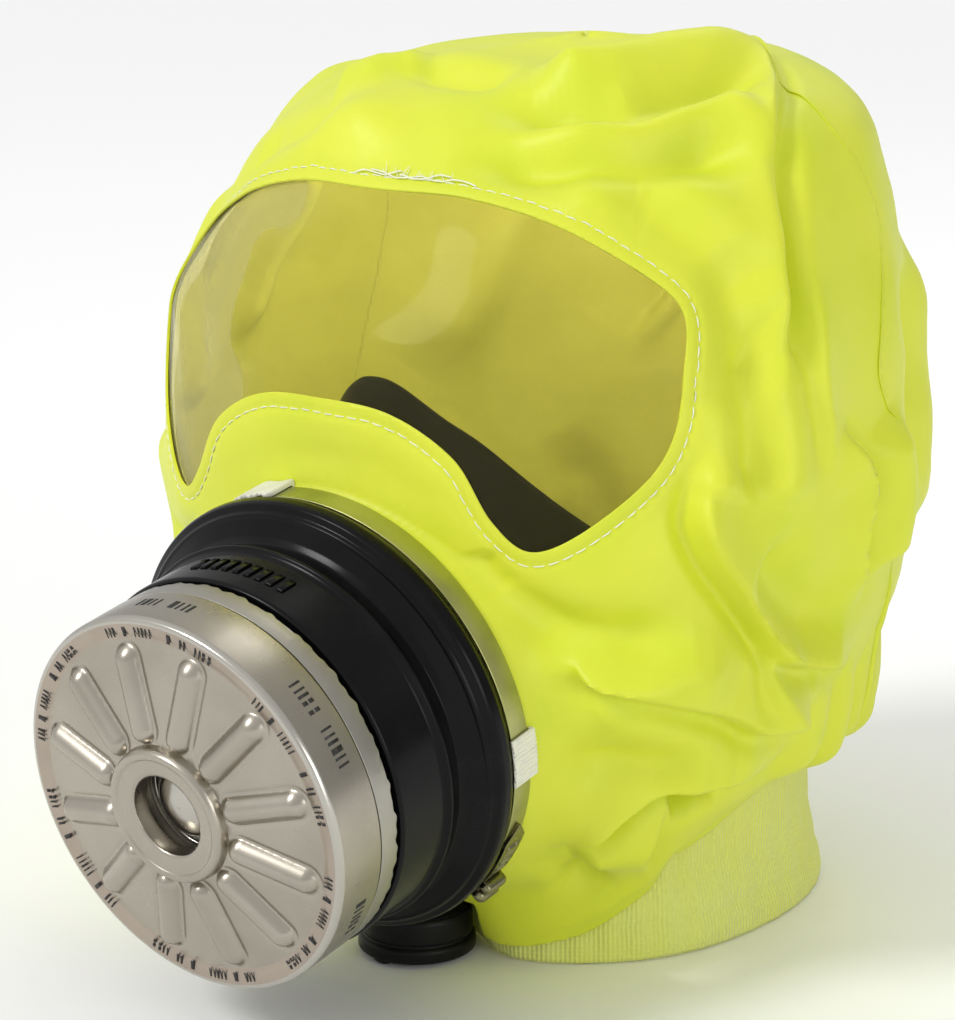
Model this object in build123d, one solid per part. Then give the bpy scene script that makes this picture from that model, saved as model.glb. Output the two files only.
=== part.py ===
from build123d import *
from math import cos, copysign, exp, pi, radians, sin
import os

# Smoke hood: coated fabric hood with a clear visor, a knitted neck seal, a half mask inside,
# a round aluminium filter canister plugged into a rubber holder, and an exhalation valve.
# Millimetres. Origin: middle of the neck opening at its lower edge. +Z up, the face looks to -Y.

os.makedirs("parts", exist_ok=True)

# ---- driving dimensions -------------------------------------------------------------------

FABRIC = 1.6            # thickness of the hood panels
OVALNESS = 2.25         # exponent of the hood's level outlines, 2 would be an ellipse
SEAM_Y = 30.0           # plane where the front and rear panels are sewn together
OUTLINE_POINTS = 24     # points on each level outline

CANISTER_RADIUS = 55.0
FILTER_DROOP = 10.8     # degrees that the filter axis points below level
FACE_CENTRE = (0, -176.3, 69.5)     # middle of the canister's front rim
HUB_HEIGHT = 7.0        # inlet hub above the front rim
INLET_RADIUS = 11.6
RIB_COUNT = 12
RIB_PHASE = 14.0        # degrees

SLEEVE_BORE = 51.8      # rubber holder, inside
CAN_TAIL_RADIUS = 51.5  # canister where it sits in the holder
SNOUT_RADIUS = 61.6     # rubber collar that the hood is clamped on
SNOUT_FRONT = -63.1     # along the filter axis, from the canister's front rim
SNOUT_FLARE = [(-73, 0), (-78, 2.2), (-90, 8.5)]   # place along the axis, extra radius
BAND_WIDTH = 7.4
BAND_MIDDLE = -67.2
BAND_THICKNESS = 0.8

VALVE_Y = -76.0         # exhalation valve axis, vertical, on the centre plane
VALVE_TUBE_RADIUS = 10.0
VALVE_SEAT_Z = 9.5      # underside of the exhalation valve seat
VALVE_COVER_RADIUS = 17.5
VALVE_POCKET = (19.4, 13.2)     # radius and height of the dent that the hood leaves for the cover

STRAP_HEIGHT = 15.0
STRAP_THICKNESS = 1.2
STRAP_Z = 62.0          # lower edge of the head strap

# Level outlines of the hood, outside the fabric:
# height, half width, front, back, and how far the chin is dented round the exhalation valve.
HOOD_LEVELS = [
    (-6, 74.6, -74, 84, 18),
    (10, 73.0, -76, 83, 14),
    (25, 71.0, -80, 80, 5),
    (40, 74.0, -84, 82, 0),
    (55, 89.0, -88, 92, 0),
    (75, 101, -98, 96, 0),
    (100, 108, -109, 97, 0),
    (140, 112, -117, 96, 0),
    (180, 110, -116, 93, 0),
    (212, 98.5, -101, 90, 0),
    (235, 87, -84, 82, 0),
    (250, 72, -64, 70, 0),
    (259, 49, -40, 52, 0),
    (263, 20, -12, 24, 0),
]
CROWN_START = 200.0     # above this height the inner face also drops by the fabric thickness

# The same for the knitted neck seal.
NECK_LEVELS = [
    (0, 72.5, -72, 82, 18),
    (12, 70.8, -72, 80.5, 19),
    (25, 68.6, -71, 77.5, 16),
    (38, 68.6, -69, 77, 6),
    (52, 69.5, -69, 78, 0),
]
DENT_WIDTH = 19.0
KNIT = 2.2

# Lower edge of the hood, seen from the side: low under the chin, higher over the nape.
HEM = [(-130, 1), (-75, 1), (-59, 8), (-42, 20), (-30, 32), (-10, 40), (20, 43), (120, 40)]
TUCK = 9.0              # how far the neck seal reaches up inside the hem

# Right half of the visor opening, seen from the front, from the middle of the brow round to
# the top of the arch over the nose.
VISOR_HALF = [
    (0, 226), (30, 225.7), (56, 219.5), (79, 207), (89.5, 195.5), (92.2, 176), (88.5, 157),
    (75, 141.2), (62.5, 135), (53, 142.6), (42.3, 159.2), (23, 169.5), (0, 171.3),
]
VISOR_FILM = 0.8
VISOR_LAP = 7.0         # how far the film reaches behind the fabric


# ---- helpers ------------------------------------------------------------------------------

FILTER = Plane(
    origin=FACE_CENTRE,
    x_dir=(1, 0, 0),
    z_dir=(0, -cos(radians(FILTER_DROOP)), -sin(radians(FILTER_DROOP))),
)


def write(shape, node):
    """Save one node."""
    export_step(shape, f"parts/{node}.step")


def turned(points):
    """Solid of revolution about local Z. The points are (radius, height) pairs."""
    outline = Polyline([(radius, 0, height) for radius, height in points], close=True)
    return revolve(make_face(outline), axis=Axis.Z)


def disc(radius, low, high, bore=0.0):
    """Plain disc or ring about local Z."""
    solid = Pos(0, 0, (low + high) / 2) * Cylinder(radius, high - low)
    if bore:
        solid -= Pos(0, 0, (low + high) / 2) * Cylinder(bore, high - low + 2)
    return solid


def around(count, phase=0.0):
    """Rotations about local Z, evenly spaced."""
    return [Rot(0, 0, phase + 360 * i / count) for i in range(count)]


def level_outline(height, half_width, front, back, dent, inset):
    """Closed curve at one height, inset from the outer face."""
    centre = (front + back) / 2
    depth = (back - front) / 2 - inset
    width = half_width - inset
    points = []
    for i in range(OUTLINE_POINTS):
        angle = 2 * pi * i / OUTLINE_POINTS
        across = cos(angle)
        along = sin(angle)
        x = width * copysign(abs(across) ** (2 / OVALNESS), across)
        y = centre + depth * copysign(abs(along) ** (2 / OVALNESS), along)
        if along < 0:
            y += dent * exp(-((x / DENT_WIDTH) ** 2))
        points.append((x, y, height))
    return make_face(Spline(*points, periodic=True))


def level_volume(levels, inset, crown_start=None):
    """Solid through level outlines. Above crown_start its top is inset too."""
    sections = []
    top = levels[-1][0]
    for height, half_width, front, back, dent in levels:
        lowered = height
        if crown_start and height > crown_start:
            lowered -= inset * (height - crown_start) / (top - crown_start)
        sections.append(level_outline(lowered, half_width, front, back, dent, inset))
    return loft(sections)


def side_profile(points, floor):
    """Solid below a curve seen from the side, across the whole width."""
    edge = Spline(*[(0, y, z) for y, z in points])
    last_y, last_z = points[-1]
    first_y, first_z = points[0]
    rest = Polyline((0, last_y, last_z), (0, last_y, floor), (0, first_y, floor), (0, first_y, first_z))
    return extrude(make_face([edge, rest]), amount=150, dir=(1, 0, 0), both=True)


def snout_volume(inset):
    """Fabric tube from the clamp band back into the cheeks."""
    front = SNOUT_FRONT + 3 * inset
    outline = [(0, front), (SNOUT_RADIUS + 0.1 + FABRIC - inset, front)]
    for along, flare in SNOUT_FLARE:
        outline.append((SNOUT_RADIUS + 0.1 + FABRIC - inset + flare, along))
    outline.append((0, SNOUT_FLARE[-1][0]))
    return FILTER * turned(outline)


def valve_pocket(grow):
    """Dent under the chin that the exhalation valve's cover sits in."""
    radius, height = VALVE_POCKET
    return Pos(0, VALVE_Y, 0) * disc(radius + grow, -30, height + grow)


def both_halves(half):
    """Closed list of points from the right half, which starts and ends on the middle line."""
    return half + [(-x, height) for x, height in half[-2:0:-1]]


def grown(points, grow):
    """Points of a closed outline moved outwards, or inwards where grow is negative."""
    turning = sum(a[0] * b[1] - b[0] * a[1] for a, b in zip(points, points[1:] + points[:1]))
    moved = []
    for i, (x, height) in enumerate(points):
        last_x, last_height = points[i - 1]
        next_x, next_height = points[(i + 1) % len(points)]
        outwards = Vector(next_height - last_height, last_x - next_x).normalized()
        step = copysign(grow, grow * turning)
        moved.append((x + outwards.X * step, height + outwards.Y * step))
    return moved


def visor_prism(grow):
    """Visor opening run through the front of the hood, grown outwards."""
    points = [(x, 0, z) for x, z in grown(both_halves(VISOR_HALF), grow)]
    return extrude(make_face(Spline(*points, periodic=True)), amount=140, dir=(0, -1, 0))


# ---- fabric hood --------------------------------------------------------------------------

hood_outside = level_volume(HOOD_LEVELS, 0, CROWN_START) + snout_volume(0) - valve_pocket(0)
hood_inside = level_volume(HOOD_LEVELS, FABRIC, CROWN_START) + snout_volume(FABRIC) - valve_pocket(FABRIC)
film_inside = level_volume(HOOD_LEVELS, FABRIC + VISOR_FILM, CROWN_START)
below_hem = side_profile(HEM, -40)
valve_hole = Pos(0, VALVE_Y, 20) * Cylinder(VALVE_TUBE_RADIUS + 0.3, 60)

hood_shell = hood_outside - hood_inside - below_hem - valve_hole
front_half = Pos(0, SEAM_Y - 150, 130) * Box(300, 300, 300)
rear_half = Pos(0, SEAM_Y + 150, 130) * Box(300, 300, 300)
write((hood_shell & front_half) - visor_prism(0), "hood_front_panel")
write(hood_shell & rear_half, "hood_rear_panel")

FIN_HEIGHT = 3.5
FIN_THICKNESS = 1.6
seam_slab = Pos(0, SEAM_Y, 160) * Box(300, FIN_THICKNESS, 220)
crown_seam = (level_volume(HOOD_LEVELS, -FIN_HEIGHT, CROWN_START) - hood_outside) & seam_slab
write(crown_seam, "hood_crown_seam")

film_shell = level_volume(HOOD_LEVELS, FABRIC, CROWN_START) - film_inside
write(film_shell & visor_prism(VISOR_LAP), "visor")

TAPE = 0.6
tape_shell = film_inside - level_volume(HOOD_LEVELS, FABRIC + VISOR_FILM + TAPE, CROWN_START)
write((tape_shell & visor_prism(VISOR_LAP - 0.5)) - visor_prism(0.5), "visor_seam_tape")

# ---- neck seal ----------------------------------------------------------------------------

neck_shell = level_volume(NECK_LEVELS, 0) - level_volume(
    [(-1, *NECK_LEVELS[0][1:])] + NECK_LEVELS[1:-1] + [(53, *NECK_LEVELS[-1][1:])], KNIT
)
tuck_line = [(y, z + TUCK) for y, z in HEM]
write(neck_shell & side_profile(tuck_line, -40), "neck_seal")

ELASTIC_LOW = 1.5
ELASTIC_HIGH = 7.5
elastic_slab = Pos(0, 0, (ELASTIC_LOW + ELASTIC_HIGH) / 2) * Box(300, 300, ELASTIC_HIGH - ELASTIC_LOW)
elastic_shell = level_volume(NECK_LEVELS, KNIT + 0.2) - level_volume(NECK_LEVELS, KNIT + 1.2)
write(elastic_shell & elastic_slab, "neck_elastic")

# ---- clamp band ---------------------------------------------------------------------------

band_inner = SNOUT_RADIUS + 0.1 + FABRIC
band_outer = band_inner + BAND_THICKNESS
band_low = BAND_MIDDLE - BAND_WIDTH / 2
band_high = BAND_MIDDLE + BAND_WIDTH / 2
write(FILTER * disc(band_outer, band_low, band_high, band_inner), "clamp_band")

BUCKLE_ANGLE = -33.0
BUCKLE_SPAN = 18.0      # degrees of band that the buckle plate covers
EAR_ANGLE = -46.0
PLATE = 1.2


def band_arc(inner, outer, low, high, middle_angle, span):
    """Piece of a ring about the filter axis."""
    half = radians(span / 2)
    reach = 2 * outer
    wedge = Polyline(
        (0, 0),
        (reach * cos(half), -reach * sin(half)),
        (reach * cos(half), reach * sin(half)),
        close=True,
    )
    sector = extrude(make_face(wedge), amount=high - low)
    ring = disc(outer, low, high, inner)
    return ring & (Rot(0, 0, middle_angle) * Pos(0, 0, low) * sector)


plate_inner = band_outer + 0.05
buckle = band_arc(plate_inner, plate_inner + PLATE, band_low - 0.5, band_high + 0.5, BUCKLE_ANGLE, BUCKLE_SPAN)
ear_block = Pos(band_outer + 2.1, 0, BAND_MIDDLE) * Box(4.0, 4.6, BAND_WIDTH + 1.0)
buckle += Rot(0, 0, EAR_ANGLE) * fillet(ear_block.edges().filter_by(Axis.Z), 1.6)
bridge = band_arc(plate_inner, plate_inner + 0.9, band_low, band_high, (BUCKLE_ANGLE + EAR_ANGLE) / 2, 20)
write(FILTER * (buckle + bridge), "clamp_buckle")

LOOP_ANGLES = {"upper": 105.0, "side": -3.0}
LOOP_SPAN = 12.5
LOOP_TAPE = 0.7
for place, angle in LOOP_ANGLES.items():
    loop_inner = band_outer + 0.1
    over = band_arc(
        loop_inner, loop_inner + LOOP_TAPE, band_low - 0.9, band_high, angle, LOOP_SPAN
    )
    behind = band_arc(
        band_inner + 0.05, loop_inner + LOOP_TAPE, band_low - 0.9, band_low - 0.1, angle, LOOP_SPAN
    )
    write(FILTER * (over + behind), f"band_loop_{place}")

# ---- rubber filter holder and connector ---------------------------------------------------

sleeve_profile = [
    (SLEEVE_BORE, -25.3), (55.0, -25.3), (55.6, -26.2), (55.6, -41), (56.6, -43.6), (57.2, -45.4),
    (57.0, -46.4), (55.9, -47.0), (56.3, -50), (59.8, -55.2), (61.4, -56.3), (63.6, -56.9),
    (65.0, -58.4), (65.3, -60.2), (64.7, -61.9), (63.2, -62.8), (SNOUT_RADIUS, -62.9),
    (SNOUT_RADIUS, -73), (58, -73), (58, -53.3), (SLEEVE_BORE, -51.2),
]
write(FILTER * turned(sleeve_profile), "filter_holder")

CONNECTOR_BORE = 20.9
connector_profile = [
    (CONNECTOR_BORE, -53.5), (57.9, -53.5), (57.9, -73.4), (47, -73.4), (47, -84), (43.5, -84),
    (43.5, -70.6), (54, -70.6), (54, -57), (24.5, -57), (24.5, -63), (CONNECTOR_BORE, -63),
]
write(FILTER * turned(connector_profile), "connector_body")

inhale_seat = disc(24.5, -66, -63.1, 16)
for turn in around(4, 45):
    inhale_seat += turn * Pos(9.5, 0, -64.6) * Box(15, 2.2, 2.8)
inhale_seat += disc(3.5, -66, -63.2) + disc(1.6, -70.5, -66) + disc(2.8, -71.7, -70.2)
write(FILTER * inhale_seat, "inhalation_valve_seat")
write(FILTER * disc(19, -67.3, -66.3, 1.95), "inhalation_valve_disc")

# ---- half mask ----------------------------------------------------------------------------

MASK_WALL = 2.0
MASK_NECK_RADIUS = 49.2
NOSE_FRONT = (-93.0, 171.0)     # y, z of the rim over the nose
CHIN_FRONT = (-50.0, 50.0)      # y, z of the rim under the chin
FACE_RADIUS = 58.0              # roundness of the face that the rim fits

rim_run = Vector(0, NOSE_FRONT[0] - CHIN_FRONT[0], NOSE_FRONT[1] - CHIN_FRONT[1])
rim_up = rim_run.normalized()
rim_back = Vector(0, rim_up.Z, -rim_up.Y)
rim_origin = Vector(0, CHIN_FRONT[0], CHIN_FRONT[1])
RIM_HALF = [(0, 0), (24, 3), (44, 16), (56, 42), (57, 70), (48, 96), (30, 115), (13, 126), (0, 129)]
RIM_DEPTHS = [(0, 0.92), (36, 1.02)]    # distance behind the nose, and share of the full width


def mask_section(depth, share, inset):
    """Outline of the mask in a plane parallel to the rim."""
    plane = Plane(origin=rim_origin + rim_back * depth, x_dir=(1, 0, 0), z_dir=rim_back * -1)
    points = grown(both_halves([(x * share, height) for x, height in RIM_HALF]), -inset)
    return plane * make_face(Spline(*points, periodic=True))


def mask_volume(inset):
    """Half mask from the connector's tube to the face, inset from its outer face."""
    sections = [FILTER * Pos(0, 0, -85) * Circle(MASK_NECK_RADIUS - inset)]
    for depth, share in RIM_DEPTHS:
        sections.append(mask_section(depth, share, inset))
    return loft(sections)


face_form = Plane(origin=rim_origin + rim_back * FACE_RADIUS, z_dir=rim_up) * Cylinder(FACE_RADIUS, 400)
mask_outside = mask_volume(0) + FILTER * disc(MASK_NECK_RADIUS, -85, -74)
mask_inside = mask_volume(MASK_WALL) + FILTER * disc(47, -86, -70)
valve_bore = Pos(0, VALVE_Y, 35) * Cylinder(VALVE_TUBE_RADIUS - 2, 40)
write(mask_outside - mask_inside - face_form - valve_bore, "half_mask")
write(FILTER * disc(MASK_NECK_RADIUS + 1.6, -79.5, -75.5, MASK_NECK_RADIUS), "mask_clamp_ring")

# ---- exhalation valve ---------------------------------------------------------------------

VALVE = Pos(0, VALVE_Y, 0)
seat_flange_radius = 15.0
exhale_tube = disc(VALVE_TUBE_RADIUS, VALVE_SEAT_Z, 50, VALVE_TUBE_RADIUS - 2)
neck_clearance = FILTER * disc(MASK_NECK_RADIUS + 1.7, -86, -60)
exhale_seat = VALVE * exhale_tube - mask_outside - neck_clearance
exhale_seat += VALVE * disc(seat_flange_radius, VALVE_SEAT_Z, VALVE_SEAT_Z + 2.5, VALVE_TUBE_RADIUS - 2)
for turn in around(4):
    exhale_seat += VALVE * turn * Pos(4.8, 0, VALVE_SEAT_Z + 0.9) * Box(8, 1.6, 1.8)
exhale_seat += VALVE * disc(2.4, VALVE_SEAT_Z, VALVE_SEAT_Z + 2)
exhale_seat += VALVE * disc(1.1, VALVE_SEAT_Z - 4, VALVE_SEAT_Z + 0.5)
exhale_seat += VALVE * disc(2.2, VALVE_SEAT_Z - 5, VALVE_SEAT_Z - 4)
write(exhale_seat, "exhalation_valve_seat")
write(VALVE * disc(11, VALVE_SEAT_Z - 1.3, VALVE_SEAT_Z - 0.3, 1.45), "exhalation_valve_disc")

cover_profile = [
    (0, -1.5), (16.7, -1.5), (VALVE_COVER_RADIUS, -0.7), (VALVE_COVER_RADIUS, 2.4), (16.9, 3.2),
    (16.1, 3.4), (16.1, 4.2), (16.5, 4.6), (16.5, 10.6), (15.9, 11.6), (15.3, 11.6), (15.3, 0.5),
    (0, 0.5),
]
cover = turned(cover_profile)
for turn in around(8):
    cover -= turn * Pos(10.5, 0, -0.5) * Box(5, 3, 4)
cover += Rot(0, 0, -70) * Pos(VALVE_COVER_RADIUS - 2.6, 0, -1.6) * Box(4.4, 5, 1.2)
write(VALVE * cover, "exhalation_valve_cover")

# ---- filter canister ----------------------------------------------------------------------

SHEET = 0.8
PANEL_EDGE = (48.7, -0.9)       # where the flat rim turns into the sloping front panel
PANEL_TOP = (20.0, 3.6)         # where the panel meets the hub

cover_profile = [
    (54.2, -17), (CANISTER_RADIUS, -17), (CANISTER_RADIUS, -1.6), (54.4, -0.4), (53.2, 0), (50.4, -0.3),
    PANEL_EDGE, PANEL_TOP, (19.6, 5.8), (18.8, HUB_HEIGHT), (17.4, HUB_HEIGHT), (12.6, 6.4),
    (INLET_RADIUS, 5.8), (INLET_RADIUS, 0.2), (12.4, 0.2), (12.4, 5.2), (17.4, 6.1), (18.8, 5.6),
    (19.2, 2.8), (48.7, -1.7), (52.6, -1.1), (54.2, -2.2),
]
panel_slope = (PANEL_EDGE[1] - PANEL_TOP[1]) / (PANEL_EDGE[0] - PANEL_TOP[0])
RIB_RADIUS = 3.6
RIB_START = 24.2
RIB_END = 43.2
RIB_SINK = 1.7          # rib axis below the panel


def pressed_rib():
    """Round-ended bar along the sloping panel, cut off at the panel's inner face."""
    start = Vector(RIB_START, 0, PANEL_TOP[1] + panel_slope * (RIB_START - PANEL_TOP[0]) - RIB_SINK)
    end = Vector(RIB_END, 0, PANEL_TOP[1] + panel_slope * (RIB_END - PANEL_TOP[0]) - RIB_SINK)
    run = end - start
    bar = Plane(origin=(start + end) / 2, z_dir=run) * Cylinder(RIB_RADIUS, run.length)
    bar += Pos(start.X, start.Y, start.Z) * Sphere(RIB_RADIUS)
    bar += Pos(end.X, end.Y, end.Z) * Sphere(RIB_RADIUS)
    under = turned([(0, -12), (60, -12), (60, -3.2), (19, 3.2), (0, 3.2)])
    return bar - under


canister_cover = turned(cover_profile)
rib = pressed_rib()
for turn in around(RIB_COUNT, RIB_PHASE):
    canister_cover += turn * rib
write(FILTER * canister_cover, "canister_cover")

body_profile = [
    (53.3, -13), (54.15, -13), (54.15, -24.0), (CAN_TAIL_RADIUS, -25.0), (CAN_TAIL_RADIUS, -49.2),
    (50.7, -50), (20.5, -50), (20.5, -61), (18.7, -61), (18.7, -49.1), (50.4, -49.1),
    (CAN_TAIL_RADIUS - SHEET, -48.6), (CAN_TAIL_RADIUS - SHEET, -24.6), (53.3, -23.4),
]
write(FILTER * turned(body_profile), "canister_body")
write(FILTER * disc(54.75, -24.1, -17.3, 54.2), "canister_seal_film")

baffle_profile = [
    (0, -2.2), (8.2, -2.2), (9.6, -3.0), (10.6, -6.4), (11.8, -7.2), (14.6, -7.2), (15.6, -6.4),
    (15.9, -2.0), (24.0, -2.0), (24.0, -1.3), (15.2, -1.3), (14.8, -6.1), (14.2, -6.5),
    (12.2, -6.5), (11.4, -6.1), (10.3, -2.4), (8.6, -1.5), (0, -1.5),
]
baffle = turned(baffle_profile)
for turn in around(8):
    baffle -= turn * Pos(13.2, 0, -6.8) * Cylinder(1.1, 3)
write(FILTER * baffle, "inlet_baffle")


def perforated(radius, low, high, rings, hole):
    """Round screen with rings of holes."""
    plate = disc(radius, low, high)
    cutters = []
    for ring_radius, count in rings:
        for turn in around(count):
            cutters.append(turn * Pos(ring_radius, 0, (low + high) / 2) * Cylinder(hole, high - low + 1))
    return plate - cutters


SCREEN_RINGS = [(7, 6), (14, 12), (21, 18), (28, 24), (35, 30), (42, 36)]
BED_RADIUS = 50.4
write(FILTER * perforated(53.1, -9.0, -8.3, SCREEN_RINGS, 1.6), "front_screen")

PLEATS = 24
PLEAT_TOP = -9.3
PLEAT_DEPTH = 11.0
PLEAT_SHEET = 1.1
pleat_step = 2 * BED_RADIUS / PLEATS
upper = []
lower = []
for i in range(2 * PLEATS + 1):
    x = -BED_RADIUS + i * pleat_step / 2
    crest = PLEAT_TOP if i % 2 else PLEAT_TOP - PLEAT_DEPTH + PLEAT_SHEET
    upper.append((x, 0, crest))
    lower.append((x, 0, crest - PLEAT_SHEET))
folded = make_face(Polyline(upper + lower[::-1], close=True))
pleat_pack = extrude(folded, amount=60, dir=(0, 1, 0), both=True) & disc(48, -40, 0)
write(FILTER * pleat_pack, "particle_filter")
write(FILTER * disc(BED_RADIUS, -20.4, -9.2, 48.1), "particle_filter_ring")
write(FILTER * perforated(BED_RADIUS, -21.3, -20.6, SCREEN_RINGS, 1.6), "middle_screen")
write(FILTER * disc(BED_RADIUS, -44.6, -21.5), "carbon_bed")
write(FILTER * disc(BED_RADIUS, -46.6, -44.8), "dust_pad")
write(FILTER * perforated(BED_RADIUS, -47.5, -46.8, SCREEN_RINGS, 1.6), "rear_screen")
write(FILTER * disc(27, -52.6, -50.1, 20.6), "outlet_gasket")

# ---- head strap ---------------------------------------------------------------------------

STRAP_ROUTE = [(-58, -52), (-84, 4), (-64, 58), (64, 58), (84, 4), (58, -52)]
STRAP_BEND = 26.0
route = FilletPolyline(*STRAP_ROUTE, radius=STRAP_BEND)
strap_plan = offset(route, STRAP_THICKNESS / 2, side=Side.BOTH, closed=True)
strap = Pos(0, 0, STRAP_Z) * extrude(make_face(strap_plan), amount=STRAP_HEIGHT)
write(strap, "head_strap")

SLIDER_SHARE = 0.5      # slider's place along the straight run from the mask
SLIDER_GAP = 0.35
CLIP_LENGTH = 9.0
for side_name, side_sign in (("left", -1), ("right", 1)):
    near = Vector(58 * side_sign, -52, STRAP_Z + STRAP_HEIGHT / 2)
    far = Vector(84 * side_sign, 4, STRAP_Z + STRAP_HEIGHT / 2)
    run = (far - near).normalized()
    middle = near + (far - near) * SLIDER_SHARE
    at_slider = Plane(origin=middle, x_dir=run, z_dir=(0, 0, 1))
    slot = Box(30, STRAP_THICKNESS + 2 * SLIDER_GAP, STRAP_HEIGHT + 2 * SLIDER_GAP)
    write(at_slider * (Box(9, 4.6, STRAP_HEIGHT + 5) - slot), f"strap_slider_{side_name}")
    at_clip = Plane(origin=near - run * (CLIP_LENGTH / 2 - 1), x_dir=run, z_dir=(0, 0, 1))
    pocket = Pos(CLIP_LENGTH / 2, 0, 0) * Box(4, STRAP_THICKNESS + 0.3, STRAP_HEIGHT + 0.3)
    clip = at_clip * (Box(CLIP_LENGTH, 4, STRAP_HEIGHT + 3) - pocket)
    write(clip - mask_outside, f"strap_clip_{side_name}")
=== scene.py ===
import math

import bpy
import numpy as np
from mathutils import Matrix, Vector


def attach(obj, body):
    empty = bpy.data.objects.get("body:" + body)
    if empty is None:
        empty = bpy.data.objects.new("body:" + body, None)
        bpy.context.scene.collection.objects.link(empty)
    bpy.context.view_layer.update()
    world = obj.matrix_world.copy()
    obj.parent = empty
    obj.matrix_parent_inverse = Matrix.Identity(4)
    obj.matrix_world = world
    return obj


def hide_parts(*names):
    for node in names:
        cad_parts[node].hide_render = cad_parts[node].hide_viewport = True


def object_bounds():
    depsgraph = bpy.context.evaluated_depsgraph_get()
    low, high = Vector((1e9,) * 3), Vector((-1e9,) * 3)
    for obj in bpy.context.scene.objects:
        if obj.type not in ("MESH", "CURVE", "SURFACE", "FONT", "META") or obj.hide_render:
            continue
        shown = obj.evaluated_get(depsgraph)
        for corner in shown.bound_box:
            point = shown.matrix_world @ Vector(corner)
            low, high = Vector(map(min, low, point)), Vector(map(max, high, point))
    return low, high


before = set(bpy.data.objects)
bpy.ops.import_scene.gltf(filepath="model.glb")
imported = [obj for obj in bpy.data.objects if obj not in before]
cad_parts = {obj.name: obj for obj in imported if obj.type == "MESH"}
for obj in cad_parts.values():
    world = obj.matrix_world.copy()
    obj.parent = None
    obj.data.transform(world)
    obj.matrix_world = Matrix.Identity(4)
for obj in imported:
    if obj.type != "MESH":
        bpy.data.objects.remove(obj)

# Looks of the smoke hood. Working units are millimetres until a mesh is made.

cad_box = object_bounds()
MM = 0.001
scene = bpy.context.scene

# ---- sizes repeated from the CAD part ----

# height, half width, front, back, chin dent
HOOD_LEVELS = [
    (-6, 74.6, -74, 84, 18), (10, 73.0, -76, 83, 14), (25, 71.0, -80, 80, 5), (40, 74.0, -84, 82, 0),
    (55, 89.0, -88, 92, 0), (75, 101, -98, 96, 0), (100, 108, -109, 97, 0), (140, 112, -117, 96, 0),
    (180, 110, -116, 93, 0), (212, 98.5, -101, 90, 0), (235, 87, -84, 82, 0), (250, 72, -64, 70, 0),
    (259, 49, -40, 52, 0), (263, 20, -12, 24, 0), (264.2, 0.3, 5.7, 6.3, 0),
]
NECK_LEVELS = [
    (0, 72.5, -72, 82, 18), (12, 70.8, -72, 80.5, 19), (25, 68.6, -71, 77.5, 16),
    (38, 68.6, -69, 77, 6), (52, 69.5, -69, 78, 0),
]
HEM = [(-130, 1), (-75, 1), (-59, 8), (-42, 20), (-30, 32), (-10, 40), (20, 43), (120, 40)]
VISOR_HALF = [
    (0, 226), (30, 225.7), (56, 219.5), (79, 207), (89.5, 195.5), (92.2, 176), (88.5, 157),
    (75, 141.2), (62.5, 135), (53, 142.6), (42.3, 159.2), (23, 169.5), (0, 171.3),
]
OVALNESS = 2.25         # power of the level outlines: 2 is an ellipse
DENT_WIDTH = 19.0
SEAM_Y = 30.0
TUCK = 9.0              # how far the neck seal goes up behind the hem
SLEEVE = 63.1           # fabric under the clamp band, outside
SLEEVE_BACK = -71.3     # rear edge of the clamped part, along the filter axis
SLEEVE_FRONT = -64.2
VALVE_Y = -76.0
HOOD_MIDDLE = np.array([0, -10, 130])
VALVE_ROOM = 20.5       # the fabric's lower edge goes round the valve's cap at this radius
BEHIND_FACE = -150      # along the filter axis: what lies further back is the back of the hood

DROOP = math.radians(10.8)
FACE = np.array([0, -176.3, 69.5])
AXIS = np.array([0, -math.cos(DROOP), -math.sin(DROOP)])
UP = np.array([0, -math.sin(DROOP), math.cos(DROOP)])
ACROSS = np.array([1.0, 0, 0])


def filter_point(radius, angle, along):
    """World point from the filter's own radius, angle in radians and place along its axis."""
    radius, angle, along = np.broadcast_arrays(radius, angle, along)
    x = (radius * np.cos(angle))[..., None] * ACROSS
    y = (radius * np.sin(angle))[..., None] * UP
    return FACE + x + y + np.asarray(along, float)[..., None] * AXIS


def filter_polar(points):
    """Radius, angle and place along the axis of world points."""
    away = points - FACE
    x, y = away @ ACROSS, away @ UP
    return np.hypot(x, y), np.arctan2(y, x), away @ AXIS


# ---- small maths ----

def smooth(value, low, high):
    """0 below low, 1 above high, and smooth between."""
    t = np.clip((value - low) / (high - low), 0, 1)
    return t * t * (3 - 2 * t)


def turned(degrees, middle):
    """Degrees from a middle, the short way round."""
    return (degrees - middle + 180) % 360 - 180


def unit(vectors):
    """Rows of length 1."""
    return vectors / np.maximum(np.linalg.norm(vectors, axis=1), 1e-9)[:, None]


def curve_through(xs, ys, at):
    """Smooth curve through points, without overshoot."""
    xs, ys, at = np.asarray(xs, float), np.asarray(ys, float), np.asarray(at, float)
    step = np.diff(xs)
    slope = np.diff(ys) / step
    tangent = np.zeros_like(ys)
    same = slope[:-1] * slope[1:] > 0
    total = np.where(same, slope[:-1] + slope[1:], 1.0)
    tangent[1:-1] = np.where(same, 2 * slope[:-1] * slope[1:] / total, 0.0)
    tangent[0], tangent[-1] = slope[0], slope[-1]
    i = np.clip(np.searchsorted(xs, at) - 1, 0, len(xs) - 2)
    t = (at - xs[i]) / step[i]
    t2, t3 = t * t, t ** 3
    return ((2 * t3 - 3 * t2 + 1) * ys[i] + (t3 - 2 * t2 + t) * step[i] * tangent[i]
            + (3 * t2 - 2 * t3) * ys[i + 1] + (t3 - t2) * step[i] * tangent[i + 1])


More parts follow.
